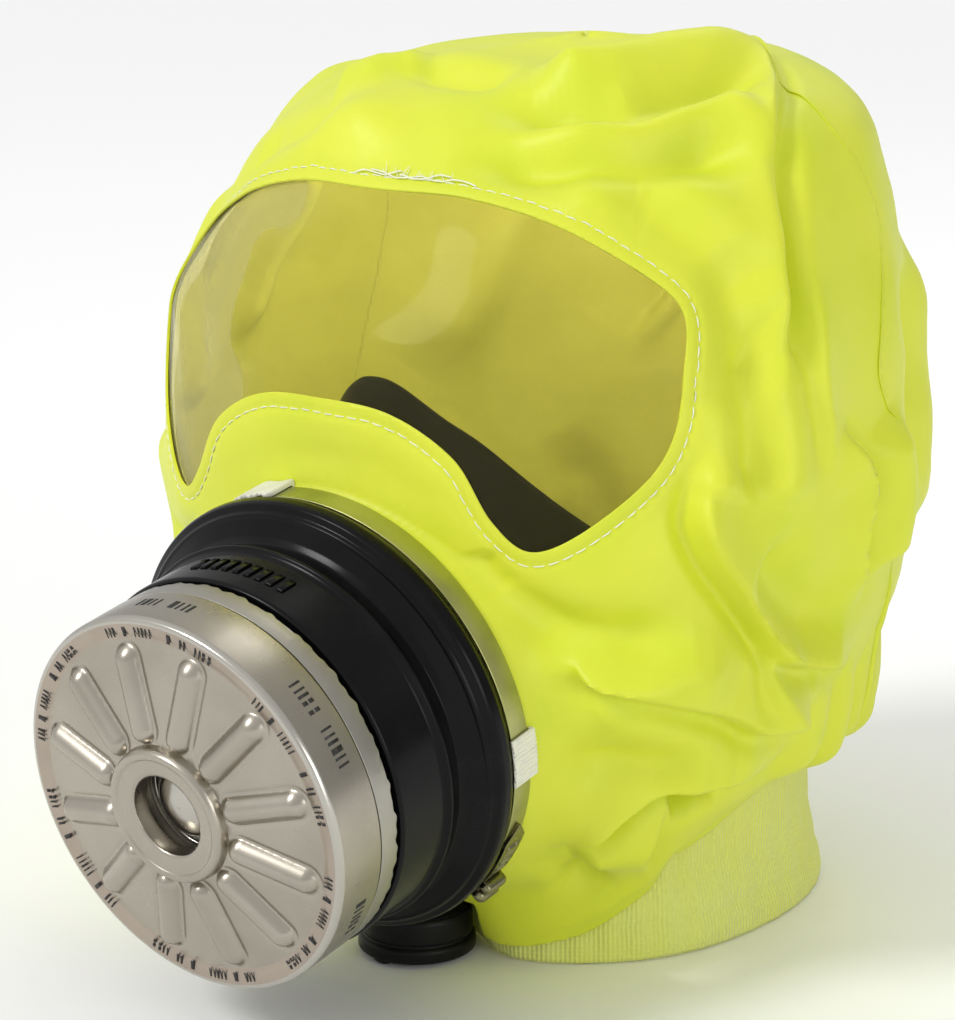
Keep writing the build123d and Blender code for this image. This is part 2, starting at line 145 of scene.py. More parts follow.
def closed_curve(points, steps):
    """Smooth closed curve through points, steps to each run."""
    p = np.asarray(points, float)
    out = []
    for i in range(len(p)):
        a, b, c, d = p[i - 1], p[i], p[(i + 1) % len(p)], p[(i + 2) % len(p)]
        for t in np.arange(steps) / steps:
            out.append(0.5 * (2 * b + (c - a) * t + (2 * a - 5 * b + 4 * c - d) * t ** 2
                              + (3 * b - a - 3 * c + d) * t ** 3))
    return np.array(out)


def waves(points, length, seed, count=7):
    """Smooth random field, about -1 to 1, with bumps about one length apart."""
    dice = np.random.default_rng(seed)
    total = np.zeros(len(points))
    for _ in range(count):
        way = dice.normal(size=3)
        way *= 2 * math.pi / (length * dice.uniform(0.75, 1.4)) / np.linalg.norm(way)
        total += np.sin(points @ way + dice.uniform(0, 6.28))
    return total / math.sqrt(count) / 1.2


# ---- hood surface ----

class Levels:
    """Closed level outlines, joined smoothly. A place on it is an angle in radians and a run s."""

    def __init__(self, table, sag=0.0):
        self.sag = sag      # how far the top lies below the levels
        t = np.asarray(table, float)
        self.s = np.concatenate([[0], np.cumsum(np.hypot(np.diff(t[:, 0]), np.diff(t[:, 1])))])
        self.columns = t.T
        self.length = self.s[-1]
        self.fine = np.linspace(0, self.length, 1200)
        self.fine_z = curve_through(self.s, t[:, 0], self.fine)

    def run(self, height):
        return np.interp(height, self.fine_z, self.fine)

    def at(self, angle, s, inset=0.0):
        z, half, front, back, dent = (curve_through(self.s, c, s) for c in self.columns)
        z = z - self.sag * smooth(z, 228, 262)
        half, middle, depth = half - inset, (front + back) / 2, (back - front) / 2 - inset
        c, d = np.cos(angle), np.sin(angle)
        power = 2 / OVALNESS
        x = half * np.sign(c) * np.abs(c) ** power
        y = middle + depth * np.sign(d) * np.abs(d) ** power
        y = y + np.where(d < 0, dent * np.exp(-(x / DENT_WIDTH) ** 2), 0)
        return np.stack([x, y, z], -1)


hood = Levels(HOOD_LEVELS, 4.0)
neck = Levels(NECK_LEVELS)


def snout(points):
    """The front of the hood drawn forwards to the clamp band."""
    radius, _, along = filter_polar(points)
    cone = np.interp(radius, [0, SLEEVE, 65.3, 71.6, 84, 140],
                     [SLEEVE_BACK, SLEEVE_BACK, -78, -90, -111, -215])
    soft = 0.6 + 13 * smooth(radius, 64, 84)
    joined = (along + cone + np.sqrt((along - cone) ** 2 + soft ** 2)) / 2
    joined = np.minimum(joined, SLEEVE_BACK + np.maximum(0, radius - 67) * 1.2)
    share = smooth(along, -165, -135)
    return points + ((joined - along) * share)[:, None] * AXIS


def angle_at(x, height):
    """Angle on the front of the hood at a place seen from the front."""
    half = curve_through(hood.s, hood.columns[1], hood.run(height))
    c = np.sign(x) * np.clip(np.abs(x) / half, 0, 1) ** (OVALNESS / 2)
    return -np.arccos(c)


# Broad differences from the plain levels: angle, height, half angle, half height, millimetres out.
BULGES = [
    (-160, 170, 24, 46, 3.2), (-162, 116, 18, 20, 5.0), (34, 74, 56, 24, -9.5), (18, 165, 44, 62, -5.5),
    (12, 112, 30, 20, -3.5), (-128, 232, 24, 18, -1.5), (28, 246, 42, 16, 4.5), (-106, 250, 20, 14, 2.5),
    (100, 92, 60, 26, -4.0), (165, 90, 36, 24, -4.0),
]


def plain(angle, s):
    """The hood without folds: its levels, the broad bulges and the snout."""
    points = hood.at(angle, s)
    degrees, z = np.degrees(angle), points[:, 2]
    out_by = np.zeros(len(points))
    for middle, level, half, reach, amount in BULGES:
        out_by += amount * np.exp(-(turned(degrees, middle) / half) ** 2 - ((z - level) / reach) ** 2)
    radius, _, along = filter_polar(points)
    out_by *= np.where(along > BEHIND_FACE, smooth(radius, SLEEVE + 2, SLEEVE + 24), 1) * smooth(z, 30, 60)
    return snout(points + unit(points - HOOD_MIDDLE) * out_by[:, None])


def outward(angle, s):
    """Unit normals of the hood without its folds."""
    turn, step = 0.004, 0.6
    across = plain(angle + turn, s) - plain(angle - turn, s)
    low, high = np.maximum(s - step, 0), np.minimum(s + step, hood.length)
    along = plain(angle, high) - plain(angle, low)
    return unit(np.cross(across, along))


VISOR_OUTLINE = closed_curve(VISOR_HALF + [(-x, z) for x, z in VISOR_HALF[-2:0:-1]], 10)


def outside_visor(points):
    """Distance outside the visor's outline, seen from the front. Negative inside."""
    x, z = points[:, 0], points[:, 2]
    result = np.full(len(points), 99.0)
    near = (points[:, 1] < 20) & (np.abs(x) < 116) & (z > 112) & (z < 252)
    q = np.stack([x[near], z[near]], 1)
    best = np.full(len(q), 1e9)
    inside = np.zeros(len(q), bool)
    ends = np.roll(VISOR_OUTLINE, -1, 0)
    for a, b in zip(VISOR_OUTLINE, ends):
        run = b - a
        t = np.clip(((q - a) @ run) / (run @ run), 0, 1)
        best = np.minimum(best, np.hypot(*(q - a - t[:, None] * run).T))
        crosses = (a[1] > q[:, 1]) != (b[1] > q[:, 1])
        if run[1]:
            inside ^= crosses & (q[:, 0] < a[0] + run[0] * (q[:, 1] - a[1]) / run[1])
    result[near] = np.where(inside, -best, best)
    return result


# Folds of the fabric: kind, width, height, and a line of (angle in degrees, height in mm).
# A "ridge" stands out, a "valley" goes in, and a "lap" stands out on its left and drops at its line.
FOLDS = [
    ("ridge", 9, 4.5, [(-72, 255), (-52, 258), (-20, 260), (30, 259)]),
    ("valley", 7, 3.6, [(8, 256), (-12, 255), (-34, 253), (-46, 250), (-62, 250), (-80, 249)]),
    ("ridge", 11, 2.5, [(-70, 243), (-45, 246), (-25, 248), (-12, 247)]),
    ("valley", 10, 5.0, [(-80, 233), (-63, 235), (-48, 238), (-31, 240), (-14, 242)]),
    ("lap", 9, 2.6, [(-16, 184), (-15, 195), (-15, 207), (-15, 220), (-13, 233), (-11, 244), (6, 256),
                    (30, 261)]),
    ("valley", 5, 2.2, [(-9, 244), (-12, 233), (-12, 220), (-12, 206), (-12, 190), (-11, 178)]),
    ("lap", 7, 1.4, [(-12, 236), (-11, 220), (-10, 204), (-9, 192), (-9, 177), (-8, 160), (-7, 146)]),
    ("ridge", 12, 3.4, [(-64, 228), (-47, 230), (-36, 226), (-29, 216), (-24, 204)]),
    ("valley", 11, 4.4, [(-54, 227), (-43, 226), (-34, 219), (-28, 209), (-25, 197), (-20, 188), (-15, 184)]),
    ("valley", 8, 2.8, [(-27, 194), (-24, 180), (-22, 168), (-22, 157), (-25, 147)]),
    ("ridge", 9, 2.4, [(-21, 184), (-18, 168), (-17, 154), (-18, 142)]),
    ("ridge", 8, 2.6, [(-31, 176), (-30, 166), (-29, 156), (-30, 148)]),
    ("lap", 10, 4.4, [(-30, 164), (-32, 154), (-33, 144), (-31, 134), (-27, 124), (-22, 113), (-17, 103),
                     (-10, 94), (-2, 86), (1, 79)]),
    ("valley", 10, 3.6, [(-21, 131), (-16, 119), (-10, 107), (-4, 93)]),
    ("lap", 9, 3.6, [(3, 104), (1, 116), (0, 128), (1, 141), (-1, 152), (-5, 162)]),
    ("ridge", 10, 4.0, [(6, 160), (9, 144), (10, 126), (11, 110)]),
    ("valley", 8, 3.6, [(-70, 121), (-64, 117), (-58, 112), (-52, 110), (-44, 109), (-34, 110)]),
    ("ridge", 9, 3.4, [(-62, 106), (-54, 103), (-44, 102), (-34, 101), (-24, 95)]),
    ("lap", 12, 3.4, [(-60, 104), (-50, 101), (-43, 98), (-36, 93), (-25, 85), (-12, 75), (-7, 71)]),
    ("ridge", 12, 2.6, [(-58, 88), (-46, 86), (-36, 80), (-24, 72)]),
    ("valley", 9, 3.0, [(-62, 80), (-52, 76), (-40, 72), (-28, 68)]),
    ("lap", 6, 2.2, [(-18, 103), (-16, 93), (-12, 80), (-9, 72)]),
    ("lap", 13, 4.2, [(-50, 46), (-45, 54), (-40, 60), (-32, 64), (-22, 64), (-14, 62)]),
    ("valley", 5, 6.0, [(-29, 54), (-25, 57), (-20, 59)]),
    ("ridge", 11, 3.6, [(-44, 42), (-34, 46), (-27, 46)]),
    ("valley", 9, 2.4, [(-66, 64), (-56, 48), (-46, 36), (-38, 28)]),
    ("ridge", 11, 2.4, [(-60, 56), (-52, 42), (-44, 32)]),
    ("valley", 6, 3.8, [(-68, 134), (-67, 127), (-65, 120)]),
    ("ridge", 13, 2.6, [(-142, 206), (-126, 218), (-113, 228), (-102, 239), (-90, 247)]),
    ("valley", 10, 1.6, [(-136, 226), (-122, 236), (-108, 245)]),
    ("valley", 7, 2.4, [(-116, 253), (-104, 256), (-92, 256), (-78, 257)]),
    ("ridge", 9, 3.0, [(-128, 250), (-118, 254), (-108, 258)]),
    # the left side and the back, which the front view doesn't show, apart from their insides
    ("ridge", 6, 3.0, [(190, 228), (188, 206), (189, 186), (193, 166), (199, 150)]),
    ("valley", 5, 2.8, [(181, 222), (180, 200), (182, 178), (187, 158)]),
    ("ridge", 6, 2.2, [(203, 214), (201, 196), (203, 174), (205, 158)]),
    ("lap", 10, 3.0, [(196, 256), (193, 240), (195, 216), (196, 194), (195, 176)]),
    ("valley", 10, 3.4, [(236, 226), (222, 216), (209, 196), (203, 180)]),
    ("valley", 8, 3.0, [(206, 176), (202, 160), (204, 144)]),
    ("lap", 14, 2.6, [(210, 146), (207, 132), (202, 116), (192, 98), (180, 84)]),
    ("ridge", 10, 3.2, [(236, 104), (222, 100), (208, 90), (196, 78)]),
    ("valley", 8, 3.2, [(246, 118), (232, 112), (216, 108)]),
    ("lap", 11, 3.4, [(232, 50), (222, 60), (208, 66), (194, 64)]),
    ("valley", 12, 3.4, [(60, 246), (72, 226), (66, 200), (58, 176)]),
    ("lap", 12, 3.2, [(104, 240), (96, 210), (100, 178), (110, 150)]),
    ("valley", 13, 3.2, [(140, 230), (132, 200), (138, 170), (150, 140)]),
    ("ridge", 12, 3.2, [(40, 206), (46, 170), (40, 136), (46, 108)]),
    ("lap", 10, 3.2, [(72, 120), (62, 98), (64, 76), (56, 60)]),
    ("valley", 10, 3.4, [(96, 130), (90, 104), (94, 80), (88, 58)]),
    ("ridge", 11, 3.4, [(124, 118), (118, 94), (122, 70), (116, 54)]),
    ("lap", 10, 3.0, [(150, 110), (142, 90), (144, 70), (136, 56)]),
    ("valley", 12, 2.8, [(24, 200), (30, 176), (26, 150), (30, 124)]),
]
# Rounded ends of the gathers over the neck seal: angle, height of the end, half width, height.
GATHERS = [
    (-14, 66, 11, 4.0), (-4, 58, 9, 5.0), (5, 53, 9, 5.5), (15, 57, 10, 4.5), (26, 50, 11, 5.0),
    (39, 55, 12, 4.2), (52, 48, 11, 5.0), (66, 54, 12, 4.6), (80, 49, 11, 5.0), (94, 56, 12, 4.4),
    (108, 50, 11, 5.0), (122, 55, 11, 4.6), (136, 49, 11, 5.0), (150, 56, 11, 4.6), (163, 50, 10, 5.0),
    (176, 57, 10, 4.6), (188, 52, 10, 5.0), (200, 60, 11, 4.2),
]


def line_on_hood(points, steps=30):
    """The points of a fold's line, close together, on the hood."""
    angles, heights = np.radians([p[0] for p in points]), [p[1] for p in points]
    runs = hood.run(np.array(heights, float))
    at = np.linspace(0, len(points) - 1, steps)
    order = np.arange(len(points))
    return hood.at(curve_through(order, angles, at), curve_through(order, runs, at))


def fold_height(points, normals, line, kind, width, height):
    """How far one fold moves each point outwards."""
    moved = np.zeros(len(points))
    reach = 3.0 * width + 4
    near = np.all((points > line.min(0) - reach) & (points < line.max(0) + reach), axis=1)
    p, n = points[near], normals[near]
    best = np.full(len(p), 1e9)
    place, side = np.zeros(len(p)), np.zeros(len(p))
    for i, (a, b) in enumerate(zip(line[:-1], line[1:])):
        run = b - a
        t = np.clip(((p - a) @ run) / (run @ run), 0, 1)
        away = p - a - t[:, None] * run
        distance = np.linalg.norm(away, axis=1)
        closer = distance < best
        best = np.where(closer, distance, best)
        place = np.where(closer, (i + t) / (len(line) - 1), place)
        side = np.where(closer, np.sign((away * np.cross(n, run)).sum(1)), side)
    ends = 1.0 if kind == "groove" else smooth(np.minimum(place, 1 - place), -0.02, 0.22)
    if kind == "lap":
        signed = best * side
        raised = np.exp(-(np.maximum(signed, 0) / width) ** 1.5)
        shape = raised * smooth(signed, -LAP_EDGE, LAP_EDGE * 0.35)
        shape = shape - 0.4 * np.exp(-((signed + LAP_EDGE + 1.6) / 2.8) ** 2)
    else:
        shape = np.exp(-(best / width) ** 2) * (-1 if kind == "valley" else 1)
    moved[near] = height * ends * shape
    return moved


STITCH_OUT = 3.9        # from the visor's edge
FABRIC = 0.8            # thickness
LAP_EDGE = 3.3          # width of a lap's drop
FOLD_GAIN = {"ridge": 2.0, "valley": 2.3, "lap": 1.9}
CROWN_FADE = (259.0, 260.1)     # folds end between these heights, where all columns of the grid meet


def ring_line(distance):
    """Closed line a set distance outside the visor, measured on the fabric, as places seen from the front."""
    flat = VISOR_OUTLINE
    angle = angle_at(flat[:, 0], flat[:, 1])
    runs = hood.run(flat[:, 1])
    points, normals = plain(angle, runs), outward(angle, runs)
    side = np.cross(unit(np.roll(points, -1, 0) - np.roll(points, 1, 0)), normals)
    visor_middle = np.array([0, -110, 190])
    side *= np.sign(((points - visor_middle) * side).sum(1).mean())
    return flat + side[:, [0, 2]] * distance


STITCH_LINE = ring_line(STITCH_OUT)


def folds(angle, s):
    """Height of all folds over the plain hood."""
    points = hood.at(angle, s)
    normals = unit(points - HOOD_MIDDLE)
    total = np.zeros(len(points))
    for kind, width, height, line in FOLDS:
        total += FOLD_GAIN[kind] * fold_height(points, normals, line_on_hood(line), kind, width, height)
    degrees = np.degrees(angle)
    z = points[:, 2]
    for middle, end, half, height in GATHERS:
        sideways = turned(degrees, middle) * 1.75 / half
        drop = (z - end) / 9
        rounded = np.clip(1 - sideways ** 2 - np.where(drop < 0, drop, drop / 3.2) ** 2, 0, 1)
        total += height * np.sqrt(rounded) * (0.25 + 0.75 * rounded)
    total += 1.1 * waves(points, 62, 3) + 0.3 * waves(points, 27, 4) * smooth(z, 20, 90)
    total += 0.05 * waves(points, 9, 5, 10)
    radius, _, along = filter_polar(points)
    by_band = np.where(along > -140, smooth(radius, SLEEVE + 0.5, SLEEVE + 12), 1)
    under_chin = np.exp(-((points[:, 0] / 30) ** 2 + ((points[:, 1] + 70) / 30) ** 2))
    chin = 1 - 0.85 * under_chin * smooth(z, 40, 18)
    out = outside_visor(points)
    by_visor = 0.12 + 0.88 * smooth(out, -1, 17)
    total *= by_band * chin * by_visor * (1 - smooth(z, *CROWN_FADE))
    hem = z - np.interp(points[:, 1], *zip(*HEM))
    total *= smooth(hem, -2, 12)
    total -= 2.2 * (1 - smooth(hem, 0, 7)) * smooth(points[:, 1], -76, -55)
    closed = np.concatenate([STITCH_LINE, STITCH_LINE[:2]])
    stitched = hood.at(angle_at(closed[:, 0], closed[:, 1]), hood.run(closed[:, 1]))
    close = out < 16
    groove = np.zeros(len(points))
    groove[close] = fold_height(points[close], normals[close], stitched, "groove", 1.1, 1.0)
    total -= groove * (0.5 + 0.12 * np.sin(degrees * 5.1))
    return total, out, hem


def fabric(angle, s):
    """Outer face of the hood with its folds, its normals, and the two distances that trim it."""
    height, out, hem = folds(angle, s)
    normals = outward(angle, s)
    points = plain(angle, s) + normals * height[:, None]
    x, y, z = points.T
    under = np.hypot(x, y - VALVE_Y)
    back = VALVE_Y + np.sqrt(np.maximum(VALVE_ROOM ** 2 - x ** 2, 0))
    share = (1 - smooth(z, 13.6, 15.6)) * (under < VALVE_ROOM)
    points[:, 1] = np.where(y < back, y + (back - y) * share, y)
    return points, normals, out, hem


# ---- mesh tools ----

def linked(name, data):
    """New object in the scene."""
    piece = bpy.data.objects.new(name, data)
    scene.collection.objects.link(piece)
    return piece


def finish_of(piece, slot, *nodes):
    """Hide the CAD nodes that a piece stands for. The piece and the slot are not used."""
    if nodes:
        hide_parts(*nodes)


def put(name, points, faces, materials, body, face_material=None, angle=40.0):
    """Mesh object from points in mm."""
    mesh = bpy.data.meshes.new(name)
    mesh.from_pydata((np.asarray(points, float) * MM).tolist(), [], [tuple(int(i) for i in f) for f in faces])
    for m in materials if isinstance(materials, (list, tuple)) else [materials]:
        mesh.materials.append(m)
    if face_material is not None:
        mesh.polygons.foreach_set("material_index", np.asarray(face_material, np.int32))
    mesh.polygons.foreach_set("use_smooth", np.ones(len(mesh.polygons), bool))
    mesh.validate()
    mesh.set_sharp_from_angle(angle=math.radians(angle))
    mesh.update()
    piece = linked(name, mesh)
    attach(piece, body)
    return piece


def baked(piece):
    """Apply the piece's modifiers."""
    graph = bpy.context.evaluated_depsgraph_get()
    mesh = bpy.data.meshes.new_from_object(piece.evaluated_get(graph))
    piece.modifiers.clear()
    piece.data = mesh
    return piece


def thicken(piece, thickness, inner=0):
    """Give a sheet its thickness, inwards."""
    m = piece.modifiers.new("thickness", "SOLIDIFY")
    m.thickness = thickness * MM
    m.offset = -1
    m.material_offset = inner
    return baked(piece)


def grid_faces(rows, columns, wrap=False):
    """Quads of a grid whose points are stored row by row."""
    faces = []
    last = columns if wrap else columns - 1
    for r in range(rows - 1):
        for c in range(last):
            d = (c + 1) % columns
            faces.append((r * columns + c, r * columns + d, (r + 1) * columns + d, (r + 1) * columns + c))
    return faces


def closed_grid(rows, columns):
    """Quads of a grid that closes both ways."""
    last = (rows - 1) * columns
    turns = ((c, (c + 1) % columns) for c in range(columns))
    return grid_faces(rows, columns, wrap=True) + [(last + c, last + d, d, c) for c, d in turns]


def capped_grid(rows, columns):
    """Quads of a closed bar of rings, with its two ends."""
    ends = [tuple(range(columns - 1, -1, -1)), tuple(range((rows - 1) * columns, rows * columns))]
    return grid_faces(rows, columns, wrap=True) + ends


def grid_triangles(rows, columns):
    cells = np.array(grid_faces(rows, columns))
    return np.concatenate([cells[:, [0, 1, 2]], cells[:, [0, 2, 3]]])


def trim(rows, triangles, value):
    """Keep the part of a triangle mesh where value is at least 0. Rows hold each point's numbers."""
    keep = value >= 0
    count = keep[triangles].sum(1)
    kept = [triangles[count == 3]]
    added, index, extra = [], {}, []

    def cut(i, j):
        key = (min(i, j), max(i, j))
        if key not in index:
            t = value[i] / (value[i] - value[j])
            index[key] = len(rows) + len(added)
            added.append(rows[i] + (rows[j] - rows[i]) * t)
        return index[key]

    for tri in triangles[(count == 1) | (count == 2)]:
        lone = keep[tri].sum() == 1
        k = int(np.argmax(keep[tri] == lone))
        a, b, c = tri[k], tri[(k + 1) % 3], tri[(k + 2) % 3]
        ab, ac = cut(a, b), cut(a, c)
        if lone:
            extra.append((a, ab, ac))
        else:
            extra.append((ab, b, c))
            extra.append((ab, c, ac))
    if extra:
        kept.append(np.array(extra))
    triangles = np.concatenate(kept)
    if added:
        rows = np.concatenate([rows, np.array(added)])
    used, triangles = np.unique(triangles, return_inverse=True)
    return rows[used], triangles.reshape(-1, 3)


def lathe(name, profile, material, body, place=filter_point, turns=160, radius=0.5, wobble=None, angle=40.0):
    """Turned piece from a closed profile of (radius, along) with rounded corners."""
    outline = rounded(profile, radius)
    around = np.linspace(0, 2 * math.pi, turns, endpoint=False)
    rings = []
    for r, w in outline:
        rings.append(place(r, around, w if wobble is None else w + wobble(around, w)))
    return put(name, np.concatenate(rings), closed_grid(len(outline), turns), material, body, angle=angle)


def rounded(profile, radius, steps=4):
    """Profile with an arc in each corner."""
    p = np.asarray(profile, float)
    out = []
    for i in range(len(p)):
        a, b, c = p[i - 1], p[i], p[(i + 1) % len(p)]
        to_a, to_c = a - b, c - b
        la, lc = np.linalg.norm(to_a), np.linalg.norm(to_c)
        cut = min(radius, la * 0.45, lc * 0.45)
        start, end = b + to_a / la * cut, b + to_c / lc * cut
        for t in np.linspace(0, 1, steps):
            out.append((1 - t) ** 2 * start + 2 * t * (1 - t) * b + t ** 2 * end)
    return out


def valve_point(radius, angle, along):
    """World point round the exhalation valve's upright axis."""
    radius, angle, along = np.broadcast_arrays(radius, angle, along)
    return np.stack([radius * np.cos(angle), VALVE_Y + radius * np.sin(angle), along + 0 * radius], -1)


def tube(path, radius, sides=8, flat=1.0, up=None):
    """Points and faces of a closed round bar along a path."""
    path = np.asarray(path, float)
    radius = np.broadcast_to(np.asarray(radius, float), len(path))
    along = unit(np.gradient(path, axis=0))
    first = np.broadcast_to(np.array([0.13, 0.2, 0.97]) if up is None else up, path.shape)
    side = unit(np.cross(along, first))
    top = np.cross(side, along)
    rings = []
    for a in np.arange(sides) * 2 * math.pi / sides:
        rings.append(path + (side * math.cos(a) + top * math.sin(a) * flat) * radius[:, None])
    points = np.stack(rings, 1).reshape(-1, 3)
    faces = grid_faces(len(path), sides, wrap=True)
    faces.append(tuple(range(sides)))
    last = (len(path) - 1) * sides
    faces.append(tuple(range(last + sides - 1, last - 1, -1)))
    return points, faces


def gather(parts):
    """Join several (points, faces) into one."""
    points, faces, start = [], [], 0
    for p, f in parts:
        points.append(np.asarray(p, float))
        faces += [tuple(i + start for i in face) for face in f]
        start += len(p)
    return np.concatenate(points), faces


# ---- materials ----

class Paint:
    """Node material that is built step by step round one Principled shader."""

    def __init__(self, name, colour, rough, metal=0.0, **sockets):
        self.material = bpy.data.materials.new(name)
        self.material.use_nodes = True
        self.tree = self.material.node_tree
        self.shader = self.tree.nodes["Principled BSDF"]
        self.shader.inputs["Base Color"].default_value = (*colour, 1)
        self.shader.inputs["Roughness"].default_value = rough
        self.shader.inputs["Metallic"].default_value = metal
        for key, value in sockets.items():
            self.shader.inputs[key.replace("_", " ")].default_value = value
        self.colour = (*colour, 1)
        self.coordinates = self.node("TexCoord").outputs["Object"]
        self.height = None

    def node(self, kind, **values):
        n = self.tree.nodes.new("ShaderNode" + kind)
        for key, value in values.items():
            setattr(n, key, value)
        return n

    def link(self, source, target):
        self.tree.links.new(source, target)

    def output(self):
        return next(n for n in self.tree.nodes if n.type == "OUTPUT_MATERIAL").inputs["Surface"]

    def maths(self, operation, a, b=0.0, clamp=False):
        n = self.node("Math", operation=operation, use_clamp=clamp)
        for socket, value in zip(n.inputs, (a, b)):
            if isinstance(value, (int, float)):
                socket.default_value = value
            else:
                self.link(value, socket)
        return n.outputs[0]

    def texture(self, kind, change, by, **values):
        """Procedural texture in the object's own coordinates, stretched or turned."""
        place = self.node("Mapping")
        place.inputs[change].default_value = by
        self.link(self.coordinates, place.inputs["Vector"])
        n = self.node(kind)
        for key, value in values.items():
            n.inputs[key].default_value = value
        self.link(place.outputs[0], n.inputs["Vector"])
        return n.outputs["Fac"]

    def noise(self, per_metre, detail, stretch=(1, 1, 1)):
        return self.texture("TexNoise", "Scale", stretch, Scale=per_metre, Detail=detail, Roughness=0.5)

    def bands(self, per_metre, turn):
        return self.texture("TexWave", "Rotation", turn, Scale=per_metre)

    def tint(self, factor, colour, low, high):
        """Mix another colour in where factor is high."""
        ramp = self.node("MapRange")
        ramp.inputs["From Min"].default_value = low
        ramp.inputs["From Max"].default_value = high
        self.link(factor, ramp.inputs["Value"])
        mix = self.node("Mix", data_type="RGBA")
        self.link(ramp.outputs[0], mix.inputs["Factor"])
        if isinstance(self.colour, tuple):
            mix.inputs[6].default_value = self.colour
        else:
            self.link(self.colour, mix.inputs[6])
        mix.inputs[7].default_value = (*colour, 1)
        self.colour = mix.outputs[2]
        self.link(self.colour, self.shader.inputs["Base Color"])
        return self

    def roughness(self, factor, low, high):
        ramp = self.node("MapRange")
        ramp.inputs["To Min"].default_value = low
        ramp.inputs["To Max"].default_value = high
        self.link(factor, ramp.inputs["Value"])
        self.link(ramp.outputs[0], self.shader.inputs["Roughness"])
        return self

    def bump(self, height, strength, distance):
        n = self.node("Bump")
        n.inputs["Strength"].default_value = strength
        n.inputs["Distance"].default_value = distance * MM
        self.link(height, n.inputs["Height"])
        if self.height is not None:
            self.link(self.height, n.inputs["Normal"])
        self.height = n.outputs[0]
        self.link(self.height, self.shader.inputs["Normal"])
        return self

    def shine_through(self, colour, share):
        """Let light through, as thin cloth does."""
        thin = self.node("BsdfTranslucent")
        thin.inputs["Color"].default_value = (*colour, 1)
        mix = self.node("MixShader")
        mix.inputs[0].default_value = share
        self.link(self.shader.outputs[0], mix.inputs[1])
        self.link(thin.outputs[0], mix.inputs[2])
        self.link(mix.outputs[0], self.output())
        return self


def painted(name, colour, rough, metal=0.0, tint=None, gloss=None, bumps=(), **sockets):
    """Finished material. tint: scale, detail, colour, low, high. gloss: scale, detail, low, high.
    bumps: (scale, detail or turn, strength, distance in mm, and the stretch where it has one)."""
    p = Paint(name, colour, rough, metal, **sockets)
    if tint:
        p.tint(p.noise(*tint[:2]), *tint[2:])
    if gloss:
        p.roughness(p.noise(*gloss[:2]), *gloss[2:])
    for scale, way, strength, distance, *stretch in bumps:
        grain = p.bands(scale, way) if isinstance(way, tuple) else p.noise(scale, way, *stretch)
        p.bump(grain, strength, distance)
    return p.material


def cloth_paint(name, colour, deep, share):
    p = Paint(name, colour, 0.5, Sheen_Weight=0.10, Sheen_Roughness=0.4, Specular_IOR_Level=0.5)
    p.tint(p.noise(28, 3), deep, 0.42, 0.9)
    p.roughness(p.noise(60, 4), 0.42, 0.56)
    weave = p.maths("MULTIPLY", p.bands(330, (0, 0.6, 0.78)), p.bands(330, (0, -0.6, 0.78)))
    p.bump(weave, 0.12, 0.12)
    p.bump(p.noise(420, 4), 0.16, 0.25)
    p.shine_through(colour, share)
    return p.material


hood_cloth = cloth_paint("hood_cloth", (0.728, 0.788, 0.040), (0.635, 0.742, 0.020), 0.08)
hood_lining = cloth_paint("hood_lining", (0.62, 0.60, 0.145), (0.53, 0.51, 0.11), 0.24)

film = Paint("visor_film", (0.55, 0.54, 0.30), 0.06, Specular_IOR_Level=0.7)
film.bump(film.noise(24, 2), 0.08, 1.0)
film.roughness(film.noise(90, 5), 0.03, 0.12)
clear = film.node("BsdfTransparent")
clear.inputs["Color"].default_value = (0.90, 0.88, 0.76, 1)
gloss = film.node("LayerWeight")
gloss.inputs["Blend"].default_value = 0.18
film_mix = film.node("MixShader")
reflected = film.maths("ADD", film.maths("MULTIPLY", gloss.outputs["Fresnel"], 0.5), 0.015, True)
film.link(reflected, film_mix.inputs[0])
film.link(clear.outputs[0], film_mix.inputs[1])
film.link(film.shader.outputs[0], film_mix.inputs[2])
film.link(film_mix.outputs[0], film.output())
film = film.material

thread = painted("thread", (0.84, 0.86, 0.66), 0.7, tint=(300, 3, (0.70, 0.72, 0.58), 0.5, 0.8),
                 bumps=[(900, (0.4, 0.3, 0), 0.4, 0.1)])

knit = Paint("neck_knit", (0.90, 0.93, 0.18), 0.85, Sheen_Weight=0.4, Sheen_Roughness=0.5)
split = knit.node("SeparateXYZ")
knit.link(knit.coordinates, split.inputs[0])
round_neck = knit.maths("ARCTAN2", split.outputs[1], split.outputs[0])
wale = knit.maths("SINE", knit.maths("MULTIPLY", round_neck, 330.0))
course = knit.maths("SINE", knit.maths("MULTIPLY", split.outputs[2], 4600.0))
knit.tint(knit.noise(40, 4), (0.88, 0.94, 0.28), 0.35, 0.75)
knit.tint(wale, (0.82, 0.86, 0.12), 0.2, 2.8)
knit.bump(wale, 0.55, 0.35)
knit.bump(course, 0.25, 0.18)
knit.bump(knit.noise(700, 4), 0.3, 0.2)
knit.shine_through((0.75, 0.82, 0.3), 0.15)
knit = knit.material

# The yellow cast of the band's steel and of the catch's steel is a painted reflection of the yellow hood.
steel_with_painted_reflection = painted("band_steel", (0.47, 0.48, 0.19), 0.32, 1.0, (55, 4, (0.34, 0.35, 0.14), 0.45, 0.75),
                (160, 4, 0.26, 0.46), [(900, 3, 0.15, 0.1, (0.15, 1, 1))])
catch_steel_with_painted_reflection = painted("catch_steel_with_painted_reflection", (0.25, 0.24, 0.13), 0.24, 1.0, (90, 4, (0.15, 0.145, 0.09), 0.45, 0.75),
                      (200, 4, 0.18, 0.36))
tape = painted("woven_tape", (0.80, 0.80, 0.66), 0.8, tint=(200, 3, (0.72, 0.71, 0.63), 0.45, 0.8),
               bumps=[(260, (0, 0.2, 0), 0.5, 0.35), (900, 3, 0.4, 0.15)], Sheen_Weight=0.3)


